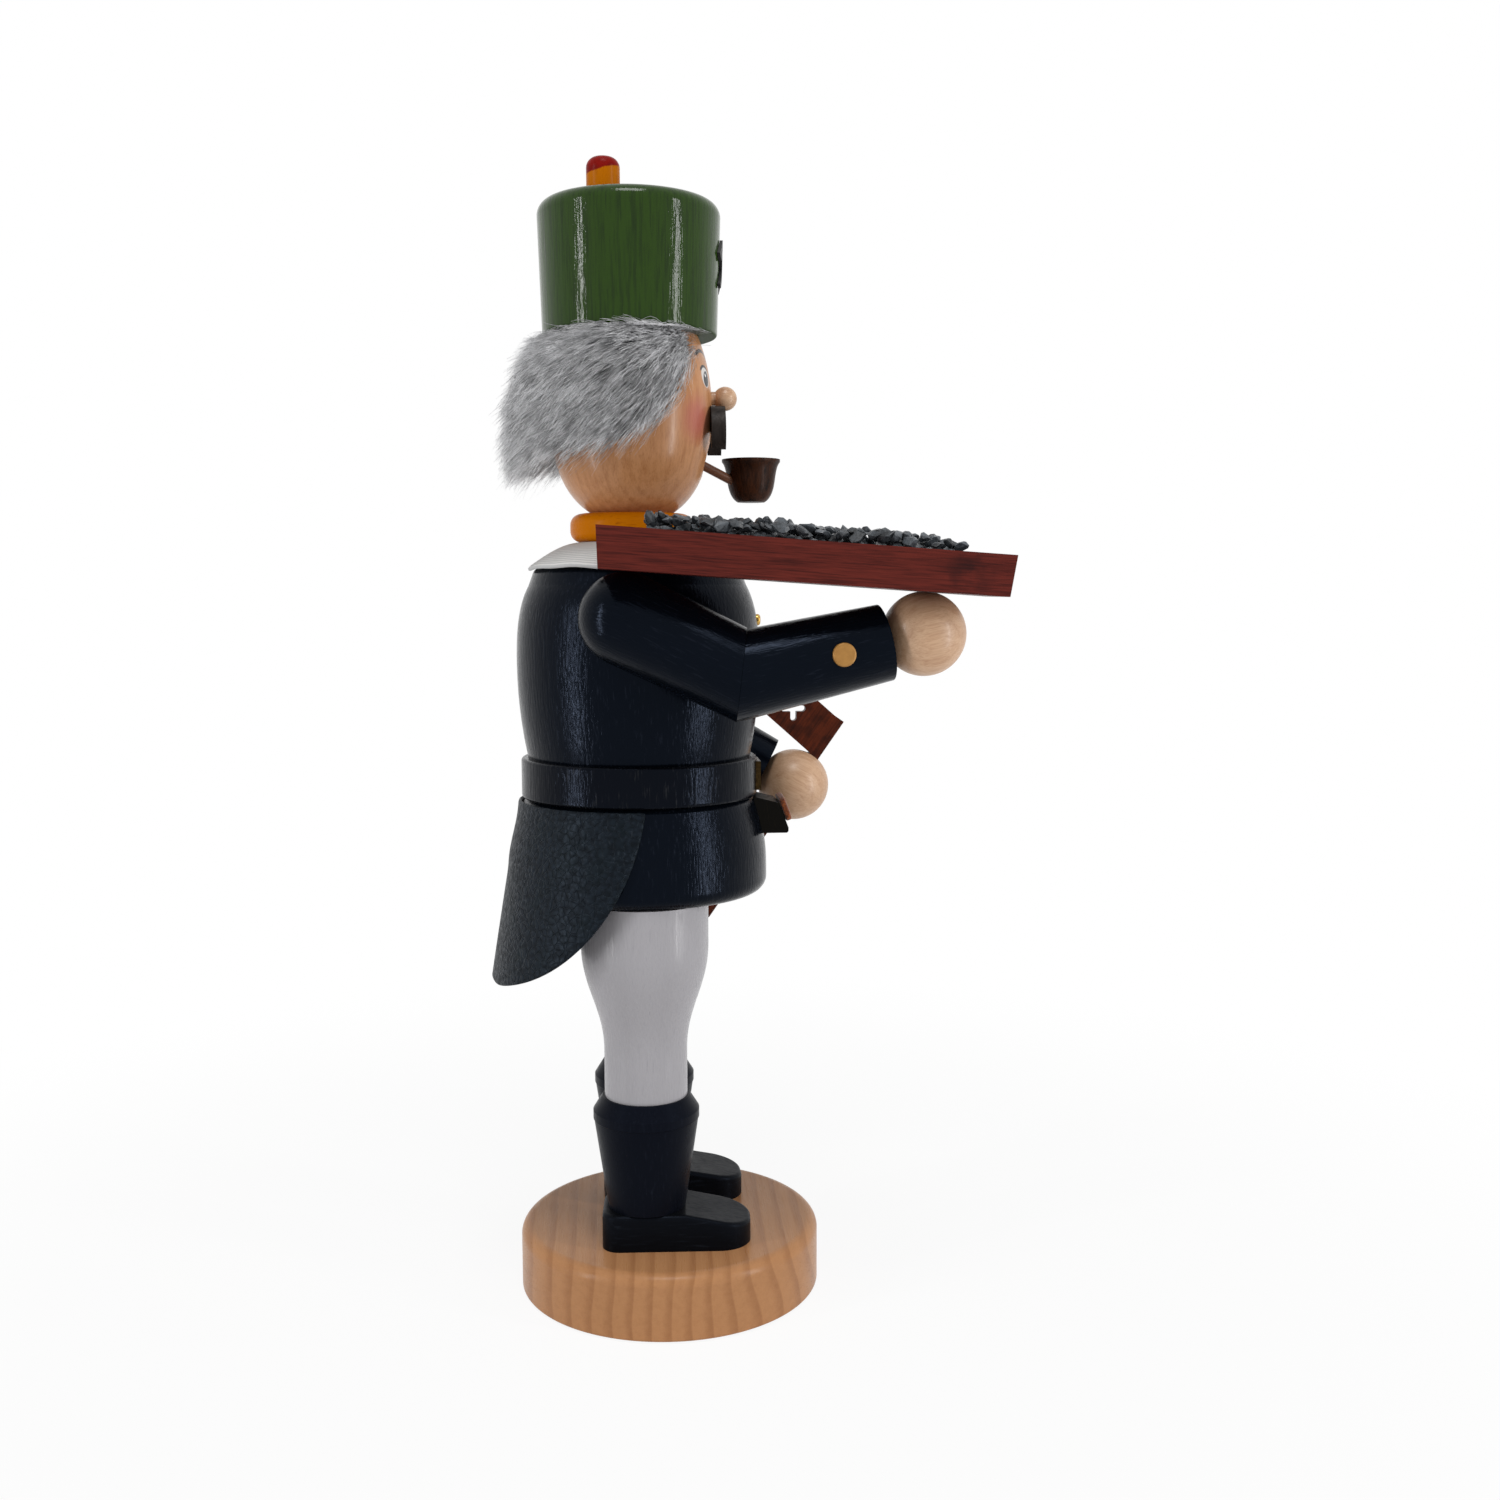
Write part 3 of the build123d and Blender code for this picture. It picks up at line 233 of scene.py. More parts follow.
def stained_wood(name, at, along, pale, deep, *, spacing, fibre, rough, specular=0.4, ring_share=0.3,
                 coat=0.0, coat_rough=0.16, pores=0.012 * MM, pith=(28 * MM, 12 * MM), fine_share=0.55,
                 mottle=0.3):
    """Clear or stained wood whose rings and fibres show through the lacquer."""
    shade = Shade(name, {"Specular IOR Level": specular, "Coat Weight": coat, "Coat Roughness": coat_rough})
    place = shade.local(at, along)
    late = shade.rings(place, pith, spacing)
    fine = shade.fibres(place, fibre, 26 * fibre)
    broad = shade.fibres(place, 5 * fibre, 90 * fibre)
    tone = shade.math("MULTIPLY", late, ring_share)
    tone = shade.math("ADD", tone, shade.rise(fine, 0.34, 0.74, 0.0, fine_share))
    tone = shade.math("ADD", tone, shade.rise(broad, 0.35, 0.7, -0.4 * mottle, mottle), clamp=True)
    shade.colour = shade.mix(tone, pale, deep)
    shade.rough = shade.rise(fine, 0.3, 0.75, rough - 0.06, rough + 0.1)
    shade.normal = shade.bump(shade.plus(fine, late, -0.3), pores)
    return shade


def painted_wood(name, at, along, colour, worn, *, rough, specular, pores, fibre=0.2 * MM, long=16,
                 show=0.5, tint=WHITE):
    """Opaque stain or paint over open grain: the pores show as fine pits and worn flecks."""
    shade = Shade(name, {"Specular IOR Level": specular, "Specular Tint": tint})
    fine = shade.fibres(shade.local(at, along), fibre, long * fibre, 2.0)
    drift = shade.noise(shade.place, 7 * MM, 3)
    fleck = shade.math("MULTIPLY", shade.rise(fine, 0.56, 0.78), shade.rise(drift, 0.35, 0.65, 0.25, 1.0))
    shade.colour = shade.mix(shade.math("MULTIPLY", fleck, show), colour, worn)
    grain_rough = shade.rise(fine, 0.4, 0.7, rough - 0.02, rough + 0.12)
    shade.rough = shade.math("ADD", grain_rough, shade.rise(drift, 0.3, 0.7, -0.02, 0.05))
    shade.normal = shade.bump(fine, pores)
    return shade


# Coat, belt, boots and trousers
COAT = rgb(5, 8, 14)
COAT_WORN = rgb(34, 38, 48)
COAT_SHEEN = (0.52, 0.67, 1.0, 1)
ARM_PARTS = {
    "right_upper_arm": ("right_shoulder_dowel", "right_elbow_dowel"),
    "right_forearm": ("right_elbow_dowel", "right_hand"),
    "left_upper_arm": ("left_shoulder_dowel", "left_elbow_dowel"),
    "left_forearm": ("left_elbow_dowel", "left_hand"),
}

coat = painted_wood(
    "coat", "torso", UP, COAT, COAT_WORN, rough=0.14, specular=0.085, pores=0.08 * MM, fibre=0.5 * MM,
    long=7, show=0.45, tint=COAT_SHEEN)
dress(coat.finish(), "torso", "lower_body")

for part, (near, far) in ARM_PARTS.items():
    sleeve = painted_wood(
        part + "_stain", part, middle(far) - middle(near), COAT, COAT_WORN, rough=0.14, specular=0.085,
        pores=0.06 * MM, fibre=0.45 * MM, long=8, show=0.35, tint=COAT_SHEEN)
    dress(sleeve.finish(), part)

belt = painted_wood(
    "belt", "torso", UP, rgb(7, 8, 12), rgb(56, 56, 56), rough=0.13, specular=0.085, pores=0.08 * MM,
    fibre=0.5 * MM, long=7, show=0.6, tint=COAT_SHEEN)
dress(belt.finish(), "belt_ring")

pouch = painted_wood(
    "pouch_stain", "pouch_block", UP, rgb(12, 10, 7), rgb(46, 40, 29), rough=0.3, specular=0.05,
    pores=0.04 * MM, fibre=0.4 * MM, long=8)
dress(pouch.finish(), "pouch_block")

boot = painted_wood(
    "boot_stain", "torso", UP, rgb(12, 14, 21), rgb(32, 36, 46), rough=0.3, specular=0.05, pores=0.012 * MM,
    fibre=0.4 * MM, long=10, tint=COAT_SHEEN)
dress(boot.finish(), "right_boot_shaft", "left_boot_shaft")

foot = painted_wood(
    "foot_stain", "right_foot", BACK, rgb(10, 11, 14), rgb(42, 48, 58), rough=0.36, specular=0.06,
    pores=0.016 * MM, fibre=0.36 * MM, long=24, show=0.45, tint=COAT_SHEEN)
dress(foot.finish(), "right_foot", "left_foot")

trousers = painted_wood(
    "trousers", "torso", UP, rgb(164, 162, 166), rgb(140, 138, 144), rough=0.26, specular=0.3,
    pores=0.05 * MM, fibre=0.5 * MM, long=10, show=0.6)
dress(trousers.finish(), "right_leg", "left_leg")

neck_ring = painted_wood(
    "neck_ring", "neck_ring", BACK, rgb(200, 114, 1), rgb(148, 74, 1), rough=0.24, specular=0.04,
    pores=0.012 * MM, fibre=0.4 * MM, long=12, show=0.7)
dress(neck_ring.finish(), "neck_ring")


# Hat

def peg_finish():
    """Yellow stain and a red cap, whose brushed edge runs on a slant."""
    cap_depth = 2.7 * MM
    slant = 0.24
    soft_edge = 0.35 * MM
    shade = painted_wood(
        "hat_peg", "hat_peg", UP, rgb(188, 106, 1), rgb(120, 56, 1), rough=0.24, specular=0.05,
        pores=0.012 * MM, fibre=0.3 * MM, long=14, show=0.9)
    _, y, z = shade.axes(shade.place)
    slanted = shade.plus(z, shade.math("SUBTRACT", y, middle("hat_peg").y), slant)
    brushed = shade.plus(slanted, shade.noise(shade.place, 1.2 * MM, 2), 0.5 * MM)
    cap_line = corners("hat_peg")[1].z - cap_depth
    red = shade.mix(shade.noise(shade.place, 1.5 * MM, 3), rgb(152, 26, 18), rgb(94, 10, 8))
    shade.paint(shade.rise(brushed, cap_line, cap_line + soft_edge), red)
    return shade.finish()


def hat_finish():
    """Green stain under a glossy lacquer, which ends just above the brim."""
    shade = stained_wood(
        "hat_green", "hat", UP, rgb(35, 61, 2), rgb(14, 34, 1), spacing=3.2 * MM, fibre=0.12 * MM,
        rough=0.4, specular=0.02, ring_share=0.1, coat_rough=0.07, fine_share=0.18, mottle=0.5)
    drawn = shade.noise(shade.scaled(shade.place, (1, 1, 0.06)), 0.8 * MM, 2)
    orange_peel = shade.noise(shade.place, 0.55 * MM, 2)
    skin = shade.bump(shade.plus(drawn, orange_peel, 0.4), 0.06 * MM)
    edge = corners("hat")[0].z
    lacquer = shade.rise(shade.axes(shade.place)[2], edge + 0.05 * MM, edge + 0.4 * MM, 0.0, 0.85)
    shade.shader.inputs["Coat IOR"].default_value = 1.3
    shade.feed(shade.shader.inputs["Coat Normal"], skin)
    shade.feed(shade.shader.inputs["Coat Weight"], lacquer)
    return shade.finish()


dress(peg_finish(), "hat_peg")
dress(hat_finish(), "hat")
emblem = painted_wood(
    "emblem", "hat_emblem", UP, rgb(24, 23, 24), rgb(70, 68, 66), rough=0.42, specular=0.35,
    pores=0.02 * MM)
dress(emblem.finish(), "hat_emblem")


# Base, hands, nose, moustache, pipe and dowels
BASE_PITH = (300 * MM, -20 * MM)
SKIN_PALE = rgb(204, 168, 136)
SKIN_DEEP = rgb(174, 132, 100)

base = stained_wood(
    "base_wood", "base_disc", (1, 0, 0), rgb(182, 132, 90), rgb(124, 74, 42), spacing=4.2 * MM,
    fibre=0.3 * MM, rough=0.32, specular=0.12, coat=0.06, pores=0.004 * MM, pith=BASE_PITH, fine_share=0.1,
    mottle=0.08)
dress(base.finish(), "base_disc")

for hand, wrist in (("right_hand", "right_wrist_dowel"), ("left_hand", "left_wrist_dowel")):
    ball = stained_wood(
        hand + "_wood", hand, middle(hand) - middle(wrist), SKIN_PALE, SKIN_DEEP, spacing=2.2 * MM,
        fibre=0.22 * MM, rough=0.42, ring_share=0.2, coat=0.1)
    dress(ball.finish(), hand)

nose = stained_wood(
    "nose_wood", "nose", BACK, SKIN_PALE, SKIN_DEEP, spacing=1.6 * MM, fibre=0.2 * MM, rough=0.4, coat=0.15)
dress(nose.finish(), "nose")

moustache = stained_wood(
    "moustache_wood", "moustache_right", UP, rgb(50, 44, 41), rgb(26, 22, 20), spacing=1.8 * MM,
    fibre=0.3 * MM, rough=0.4, specular=0.08, ring_share=0.4)
dress(moustache.finish(), "moustache_right", "moustache_left")

pipe_bowl = stained_wood(
    "pipe_bowl", "pipe_bowl", UP, rgb(60, 34, 21), rgb(20, 11, 8), spacing=2.2 * MM, fibre=0.4 * MM,
    rough=0.36, specular=0.07, ring_share=0.2, pores=0.05 * MM, mottle=0.5)
dress(pipe_bowl.finish(), "pipe_bowl")

pipe_stem = stained_wood(
    "pipe_stem", "pipe_stem", middle("pipe_bowl") - middle("pipe_stem"), rgb(122, 82, 60), rgb(76, 46, 32),
    spacing=1.8 * MM, fibre=0.2 * MM, rough=0.34, specular=0.15, ring_share=0.4)
dress(pipe_stem.finish(), "pipe_stem")

dowel = stained_wood(
    "dowel_wood", "torso", UP, rgb(222, 186, 146), rgb(188, 146, 104), spacing=2.0 * MM, fibre=0.25 * MM,
    rough=0.55, specular=0.3)
dress(dowel.finish(), *[name for name in cad if name.endswith("_dowel")])


# Trough and axe
TRAY_NODES = ("tray_outer_side", "tray_inner_side", "tray_front_end", "tray_rear_end", "tray_floor")
TRAY_PITCH = math.radians(4.1)
AXE_LEAN = math.radians(55.2)
tray_back = Vector((0, math.cos(TRAY_PITCH), math.sin(TRAY_PITCH)))
tray_up = Vector((0, -math.sin(TRAY_PITCH), math.cos(TRAY_PITCH)))
axe_way = Vector((0, math.cos(AXE_LEAN), -math.sin(AXE_LEAN)))


def trough_finish():
    """Red-brown stain with one dark patch near the front end."""
    patch_ahead = 29.5 * MM
    shade = stained_wood(
        "trough_stain", "tray_outer_side", tray_back, rgb(98, 38, 31), rgb(50, 18, 16), spacing=2.8 * MM,
        fibre=0.3 * MM, rough=0.4, specular=0.09, ring_share=0.12, pores=0.04 * MM, fine_share=0.8,
        mottle=0.2)
    patch_at = middle("tray_outer_side") - tray_back * patch_ahead
    near = shade.rise(shade.distance(shade.place, patch_at), 1.0 * MM, 6.5 * MM, 0.75, 0.0)
    blotch = shade.rise(shade.noise(shade.place, 3.4 * MM, 3), 0.34, 0.62)
    shade.paint(shade.math("MULTIPLY", near, blotch), rgb(40, 18, 18))
    return shade.finish()


def axe_finish():
    """Brown stain with dark blotches."""
    shade = stained_wood(
        "axe_stain", "parade_axe", axe_way, rgb(90, 38, 20), rgb(44, 18, 10), spacing=2.2 * MM,
        fibre=0.26 * MM, rough=0.34, specular=0.08, ring_share=0.2)
    blotch = shade.rise(shade.noise(shade.place, 3.0 * MM, 4), 0.42, 0.66, 0.0, 0.55)
    shade.paint(blotch, rgb(34, 14, 9))
    return shade.finish()


dress(trough_finish(), *TRAY_NODES)
dress(axe_finish(), "parade_axe")


# Painted face, alike on both sides: places are sideways from the middle and up from the head's seat
head_seat = corners("neck_ring")[1].z
EYE = (6.1 * MM, head_seat + 27.1 * MM)
EYE_HALF = (1.8 * MM, 2.1 * MM)
LID_UP = 0.9 * MM
LID_HALF = 0.26 * MM
PUPIL = (5.9 * MM, head_seat + 26.7 * MM)
PUPIL_HALF = (1.3 * MM, 1.6 * MM)
GLINT = (6.1 * MM, head_seat + 27.4 * MM)
GLINT_HALF = (0.3 * MM, 0.36 * MM)
BROW = (5.4 * MM, head_seat + 28.0 * MM)
BROW_RADIUS = 4.3 * MM
BROW_UP = 2.9 * MM
BROW_HALF = 0.36 * MM
CHEEK = (9.7 * MM, -6.4 * MM, head_seat + 18.4 * MM)
BLUSH_CORE = 1.6 * MM
BLUSH_RADIUS = 7.3 * MM
MOUTH = (0.0, head_seat + 11.0 * MM)
MOUTH_RADIUS = 3.52 * MM
# The mouth hole's inside is painted dark, as shade.
MOUTH_BACK = 12.0 * MM  # the hole is dark as far back as this
FACE_BACK = 0.0         # and the painted eyes and brows end here


def oval(shade, x, z, centre, half_width, half_height, tilt=0.0, soft=0.12):
    """Painted oval in the front view, 1 inside."""
    off_x = shade.math("SUBTRACT", x, centre[0])
    off_z = shade.math("SUBTRACT", z, centre[1])
    across = shade.math("POWER", shade.math("DIVIDE", shade.plus(off_x, off_z, tilt), half_width), 2)
    height = shade.math("POWER", shade.math("DIVIDE", off_z, half_height), 2)
    return shade.rise(shade.math("ADD", across, height), 1 - soft, 1 + soft, 1.0, 0.0)


def brush_arc(shade, x, z, centre, radius, half_width, up):
    """Painted arc of a circle in the front view, from a height above its centre."""
    off = shade.math("ABSOLUTE", shade.math("SUBTRACT", shade.radius(x, z, centre), radius))
    line = shade.rise(off, half_width * 0.7, half_width * 1.3, 1.0, 0.0)
    start = centre[1] + up
    return shade.math("MULTIPLY", line, shade.rise(z, start, start + 0.4 * MM))


def face_finish():
    """Lacquered wood with the painted face, and painted shade inside the mouth hole."""
    shade = stained_wood(
        "head_wood", "head", UP, rgb(196, 141, 96), rgb(164, 108, 66), spacing=2.4 * MM, fibre=0.2 * MM,
        rough=0.3, specular=0.2, ring_share=0.2, coat=0.14)
    x, y, z = shade.axes(shade.place)
    side = shade.math("ABSOLUTE", x)
    mirrored = shade.add("CombineXYZ")
    for socket, value in zip(mirrored.inputs, (side, y, z)):
        shade.feed(socket, value)

    from_cheek = shade.distance(mirrored.outputs[0], CHEEK)
    rubbed = shade.plus(from_cheek, shade.noise(shade.place, 1.0 * MM, 3), 1.2 * MM)
    shade.paint(shade.rise(rubbed, BLUSH_CORE, BLUSH_RADIUS, 0.66, 0.0), rgb(178, 88, 88))

    front = shade.rise(y, FACE_BACK, FACE_BACK + 0.5 * MM, 1.0, 0.0)
    strokes = (
        (oval(shade, side, z, EYE, *EYE_HALF), rgb(216, 212, 208)),
        (brush_arc(shade, side, z, EYE, EYE_HALF[1], LID_HALF, LID_UP), rgb(44, 36, 34)),
        (oval(shade, side, z, PUPIL, *PUPIL_HALF, tilt=0.2), rgb(24, 26, 32)),
        (oval(shade, side, z, GLINT, *GLINT_HALF), rgb(236, 236, 236)),
        (brush_arc(shade, side, z, BROW, BROW_RADIUS, BROW_HALF, BROW_UP), rgb(48, 38, 34)),
    )
    for stroke, colour in strokes:
        shade.paint(shade.math("MULTIPLY", stroke, front), colour)

    # Painted shade: the inside of the mouth hole is darkened.
    hole = shade.rise(shade.radius(x, z, MOUTH), MOUTH_RADIUS, MOUTH_RADIUS + 0.1 * MM, 0.9, 0.0)
    ahead = shade.rise(y, MOUTH_BACK, MOUTH_BACK + 1.0 * MM, 1.0, 0.0)
    shade.paint(shade.math("MULTIPLY", hole, ahead), rgb(44, 30, 24))
    return shade.finish()


dress(face_finish(), "head")


# Metal and gold paint

def metal(name, colour, dull, rough, metallic):
    """Small metal or bronzed parts with handling marks."""
    shade = Shade(name, {"Metallic": metallic})
    wear = shade.noise(shade.place, 0.9 * MM, 4)
    shade.colour = shade.mix(wear, colour, dull)
    shade.rough = shade.rise(wear, 0.3, 0.7, rough - 0.08, rough + 0.14)
    shade.normal = shade.bump(shade.noise(shade.place, 0.25 * MM, 3), 0.01 * MM)
    return shade.finish()


dress(metal("brass", rgb(214, 176, 96), rgb(150, 112, 52), 0.3, 1.0), "coat_buttons", "cone_dish")
dress(metal("old_brass", rgb(66, 50, 26), rgb(20, 16, 12), 0.3, 1.0), "belt_buckle")
dress(metal("gold_paint", rgb(176, 128, 60), rgb(138, 94, 38), 0.44, 0.25), "cuff_buttons")


# Finishes of the new pieces

def cloth_finish():
    """White cotton with fine ribs round the neck."""
    rib_width = 0.1 * MM
    shade = Shade("collar_cotton", {"Roughness": 0.85, "Specular IOR Level": 0.2, "Sheen Weight": 0.25})
    x, y, _ = shade.axes(shade.local("collar_cloth", UP))
    wander = shade.noise(shade.place, 3 * MM, 2)
    turn = shade.plus(shade.math("DIVIDE", shade.radius(x, y), rib_width), wander, 3.0)
    rib = shade.math("ADD", shade.math("MULTIPLY", shade.math("SINE", turn), 0.5), 0.5)
    weave = shade.plus(rib, shade.noise(shade.place, 0.3 * MM, 3), 0.5)
    shade.colour = shade.mix(shade.rise(weave, 0.2, 1.2), rgb(186, 186, 186), rgb(222, 222, 220))
    shade.normal = shade.bump(weave, 0.09 * MM)
    return shade.finish()


def leather_finish():
    """Black pebbled leather, painted lighter on the high grain as a highlight."""
    shade = Shade("seat_leather", {"Specular IOR Level": 0.1, "Specular Tint": (0.66, 0.82, 1.0, 1)})
    pebble = shade.cells(shade.place, 0.85 * MM, "SMOOTH_F1")
    crease = shade.cells(shade.place, 1.5 * MM, "DISTANCE_TO_EDGE")
    drift = shade.noise(shade.place, 6 * MM, 3)
    height = shade.plus(shade.rise(crease, 0.0, 0.12), pebble, -0.8)
    # Painted highlight: the pebble tops are lighter.
    shade.colour = shade.mix(shade.rise(pebble, 0.1, 0.75, 1.0, 0.0), rgb(10, 13, 17), rgb(25, 31, 38))
    shade.paint(shade.rise(drift, 0.45, 0.75, 0.0, 0.35), rgb(15, 24, 26))
    shade.rough = shade.rise(pebble, 0.1, 0.7, 0.34, 0.5)
    shade.normal = shade.bump(height, 0.11 * MM)
    return shade.finish()


def suede_finish():
    """Brushed brown suede."""
    shade = Shade("pouch_suede", {"Roughness": 0.9, "Specular IOR Level": 0.15, "Sheen Weight": 0.4})
    nap = shade.noise(shade.place, 0.35 * MM, 4, 0.65)
    drift = shade.noise(shade.place, 2.2 * MM, 2)
    shade.colour = shade.mix(shade.rise(nap, 0.36, 0.64), rgb(66, 30, 14), rgb(164, 88, 42))
    shade.paint(shade.rise(drift, 0.4, 0.7, 0.0, 0.4), rgb(96, 46, 22))
    shade.normal = shade.bump(nap, 0.08 * MM)
    return shade.finish()


def fur_finish():
    """Silver-grey pile, whose tone, painted shade included, is stored on the strands."""
    shade = Shade("hair_fur", {"Roughness": 0.55, "Specular IOR Level": 0.25, "Sheen Weight": 0.2})
    drift = shade.rise(shade.noise(shade.place, 2.6 * MM, 2), 0.35, 0.65, -0.18, 0.18)
    light = shade.math("ADD", shade.attribute("tone"), drift, clamp=True)
    shade.colour = shade.mix(light, rgb(82, 83, 86), rgb(250, 250, 252))
    return shade.finish()


def stone_finish():
    """Slate-grey broken ore with pale spots, partly dusty and partly painted highlight, each stone with a
    tone of its own.
    """
    shade = Shade("ore_slate", {"Specular IOR Level": 0.4})
    vein = shade.noise(shade.place, 0.9 * MM, 4, 0.6)
    dust_and_highlight = shade.noise(shade.place, 0.3 * MM, 3)
    light = shade.rise(vein, 0.35, 0.7, -0.15, 0.3)
    light = shade.math("ADD", shade.attribute("tone"), light, clamp=True)
    shade.colour = shade.mix(light, rgb(22, 24, 27), rgb(92, 98, 104))
    # Pale spots: partly dusty, partly painted highlight.
    shade.paint(shade.rise(dust_and_highlight, 0.6, 0.75, 0.0, 0.4), rgb(132, 136, 140))
    shade.rough = shade.rise(vein, 0.35, 0.65, 0.24, 0.5)
    shade.normal = shade.bump(vein, 0.12 * MM)
    return shade.finish()


# New pieces

def make_piece(name, mesh, material, body, replaced):
    """Puts a mesh in the scene as a piece that stands for CAD nodes."""
    piece = bpy.data.objects.new(name, mesh)
    scene.collection.objects.link(piece)
    mesh.materials.clear()
    mesh.materials.append(material)
    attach(piece, body)
    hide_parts(*replaced)
    return piece


def grid_mesh(name, rows):
    """Smooth mesh through rows of points of equal length."""
    points = [point for row in rows for point in row]
    width = len(rows[0])
    faces = []
    for row in range(len(rows) - 1):
        for column in range(width - 1):
            first = row * width + column
            faces.append((first, first + 1, first + width + 1, first + width))
    mesh = bpy.data.meshes.new(name)
    mesh.from_pydata(points, [], faces)
    mesh.shade_smooth()
    return mesh


def soften(piece):
    """Rounds a piece's edges."""
    smooth = piece.modifiers.new("soft_edges", "SUBSURF")
    smooth.levels = 1
    smooth.render_levels = 1


def thicken(piece, thickness):
    """Gives a sheet its thickness, on both sides of the mesh, and soft edges."""
    solid = piece.modifiers.new("thickness", "SOLIDIFY")
    solid.thickness = thickness
    solid.offset = 0
    soften(piece)


def collar_piece():
    """Collar: a ring of cloth on the shoulders, split at the throat."""
    low, high = corners("collar_cloth")
    centre = middle("collar_cloth")
    outer = (high.x - low.x) / 2
    inner = 8.6 * MM
    seat = 11.2 * MM
    thickness = 0.8 * MM
    fall = math.tan(math.radians(25))
    half_split = math.radians(7)
    bulge = 1.1 * MM
    edge_lift = 0.25 * MM
    ripple = 0.22 * MM
    rings = 12
    columns = 160
    rows = []
    for ring in range(rings + 1):
        radius = inner + (outer - inner) * ring / rings
        loose = max(0.0, (radius - seat) / (outer - seat))
        drop = max(0.0, radius - seat) * fall
        rise = edge_lift * loose + bulge * math.sin(math.pi * loose ** 0.8)
        level = high.z - thickness / 2 - drop + rise
        row = []
        for column in range(columns + 1):
            angle = half_split + (math.tau - 2 * half_split) * column / columns
            wave = ripple * loose ** 2 * (math.sin(5 * angle + 0.6) + 0.6 * math.sin(11 * angle))
            row.append((math.sin(angle) * radius, centre.y - math.cos(angle) * radius, level + wave))
        rows.append(row)
    mesh = grid_mesh("collar", rows)
    piece = make_piece("collar", mesh, cloth_finish(), "upper_body", ["collar_cloth"])
    thicken(piece, thickness)


def leather_piece():
    """Seat leather: it follows the coat from the belt and hangs free below it."""
    low, high = corners("seat_leather")
    coat_low, coat_high = corners("lower_body")
    axis_y = middle("torso").y
    thickness = 0.9 * MM
    clear = 0.17 * MM
    full_radius = coat_high.x + clear + thickness / 2
    full_z = coat_low.z + 5.5 * MM
    top_radius = full_radius - 2.3 * MM
    flare = math.tan(math.radians(9))
    tip_in = 0.5 * MM
    sweep = 45.75 * MM
    sweep_y = axis_y + sweep - 1.25 * MM
    sweep_z = high.z + 6.0 * MM
    ripple = 0.45 * MM
    curl = 0.3 * MM
    narrowest = 0.02
    down_rows = 46
    columns = 72

    def radius_at(height):
        if height <= full_z:
            return full_radius + (full_z - height) * flare
        share = (height - full_z) / (high.z - full_z)
        ease = 3 * share ** 2 - 2 * share ** 3
        return full_radius + (top_radius - full_radius) * ease

    rows = []
    for step in range(down_rows + 1):
        share = math.sin(math.pi / 2 * step / down_rows)
        height = high.z + (low.z + tip_in - high.z) * share
        radius = radius_at(height)
        hang = max(0.0, (full_z - height) / (full_z - low.z))
        edge_y = sweep_y - math.sqrt(max(0.0, sweep ** 2 - (sweep_z - height) ** 2))
        half = max(narrowest, math.acos(held((edge_y - axis_y) / radius, -1.0)))
        row = []
        for column in range(columns + 1):
            side = 2 * column / columns - 1
            angle = side * half
            wave = ripple * hang * (math.sin(3.1 * angle + 0.8) + 0.5 * math.sin(7 * angle))
            out = radius + wave * (1 - 0.5 * hang) - curl * hang * abs(side) ** 6
            row.append((math.sin(angle) * out, axis_y + math.cos(angle) * out, height))
        rows.append(row)
    mesh = grid_mesh("seat_leather_sheet", rows)
    piece = make_piece(
        "seat_leather_sheet", mesh, leather_finish(), "stand", ["seat_leather"])
    thicken(piece, thickness)


def flap_piece():
    """Suede flap on the pouch: a soft pad with rounded edges, bowed over the block."""
    rng = random.Random(SEED + 3)
    low, high = corners("pouch_flap")
    width = high.x - low.x
    top = Vector((0, high.y, high.z - 0.65 * MM))
    tip = Vector((0, low.y + 1.68 * MM, low.z))
    slope = tip - top
    facing = Vector((0, slope.z, -slope.y)).normalized()
    thickness = 1.426 * MM
    clear = 0.08 * MM
    bow = 0.14 * MM
    nap = 0.04 * MM
    narrowing = 0.1
    roundness = 6
    shell = bmesh.new()
    bmesh.ops.create_cube(shell, size=1.0)
    bmesh.ops.subdivide_edges(shell, edges=shell.edges[:], cuts=7, use_grid_fill=True)
    for vertex in shell.verts:
        corner = sum(abs(2 * share) ** roundness for share in vertex.co) ** (1 / roundness)
        soft = vertex.co / corner
        down = soft.y + 0.5
        out = soft.z + 0.5
        bowed = bow * (1 - (2 * soft.x) ** 2)
        thick = thickness + bowed + rng.uniform(-nap, nap)
        place = top + slope * down + facing * (clear + thick * out)
        place.x = soft.x * width * (1 - narrowing * down)
        vertex.co = place
    bmesh.ops.recalc_face_normals(shell, faces=shell.faces[:])
    mesh = bpy.data.meshes.new("pouch_suede_flap")
    shell.to_mesh(mesh)
    shell.free()
    mesh.shade_smooth()
    soften(make_piece("pouch_suede_flap", mesh, suede_finish(), "stand", ["pouch_flap"]))


def stray(rng, amount):
    """Random offset, the same in every direction."""
    return Vector((rng.gauss(0, amount), rng.gauss(0, amount), rng.gauss(0, amount)))


# Layers of stones from the trough's floor up: height, share of the width and size
ORE_LAYERS = ((5.6 * MM, 1.0, 1.65 * MM), (8.1 * MM, 1.0, 1.6 * MM), (10.1 * MM, 0.9, 1.45 * MM))
ORE_PITCH = 2.35 * MM
BOARD_HEIGHT = 7.75 * MM
BOARD_LENGTH = 75.7 * MM


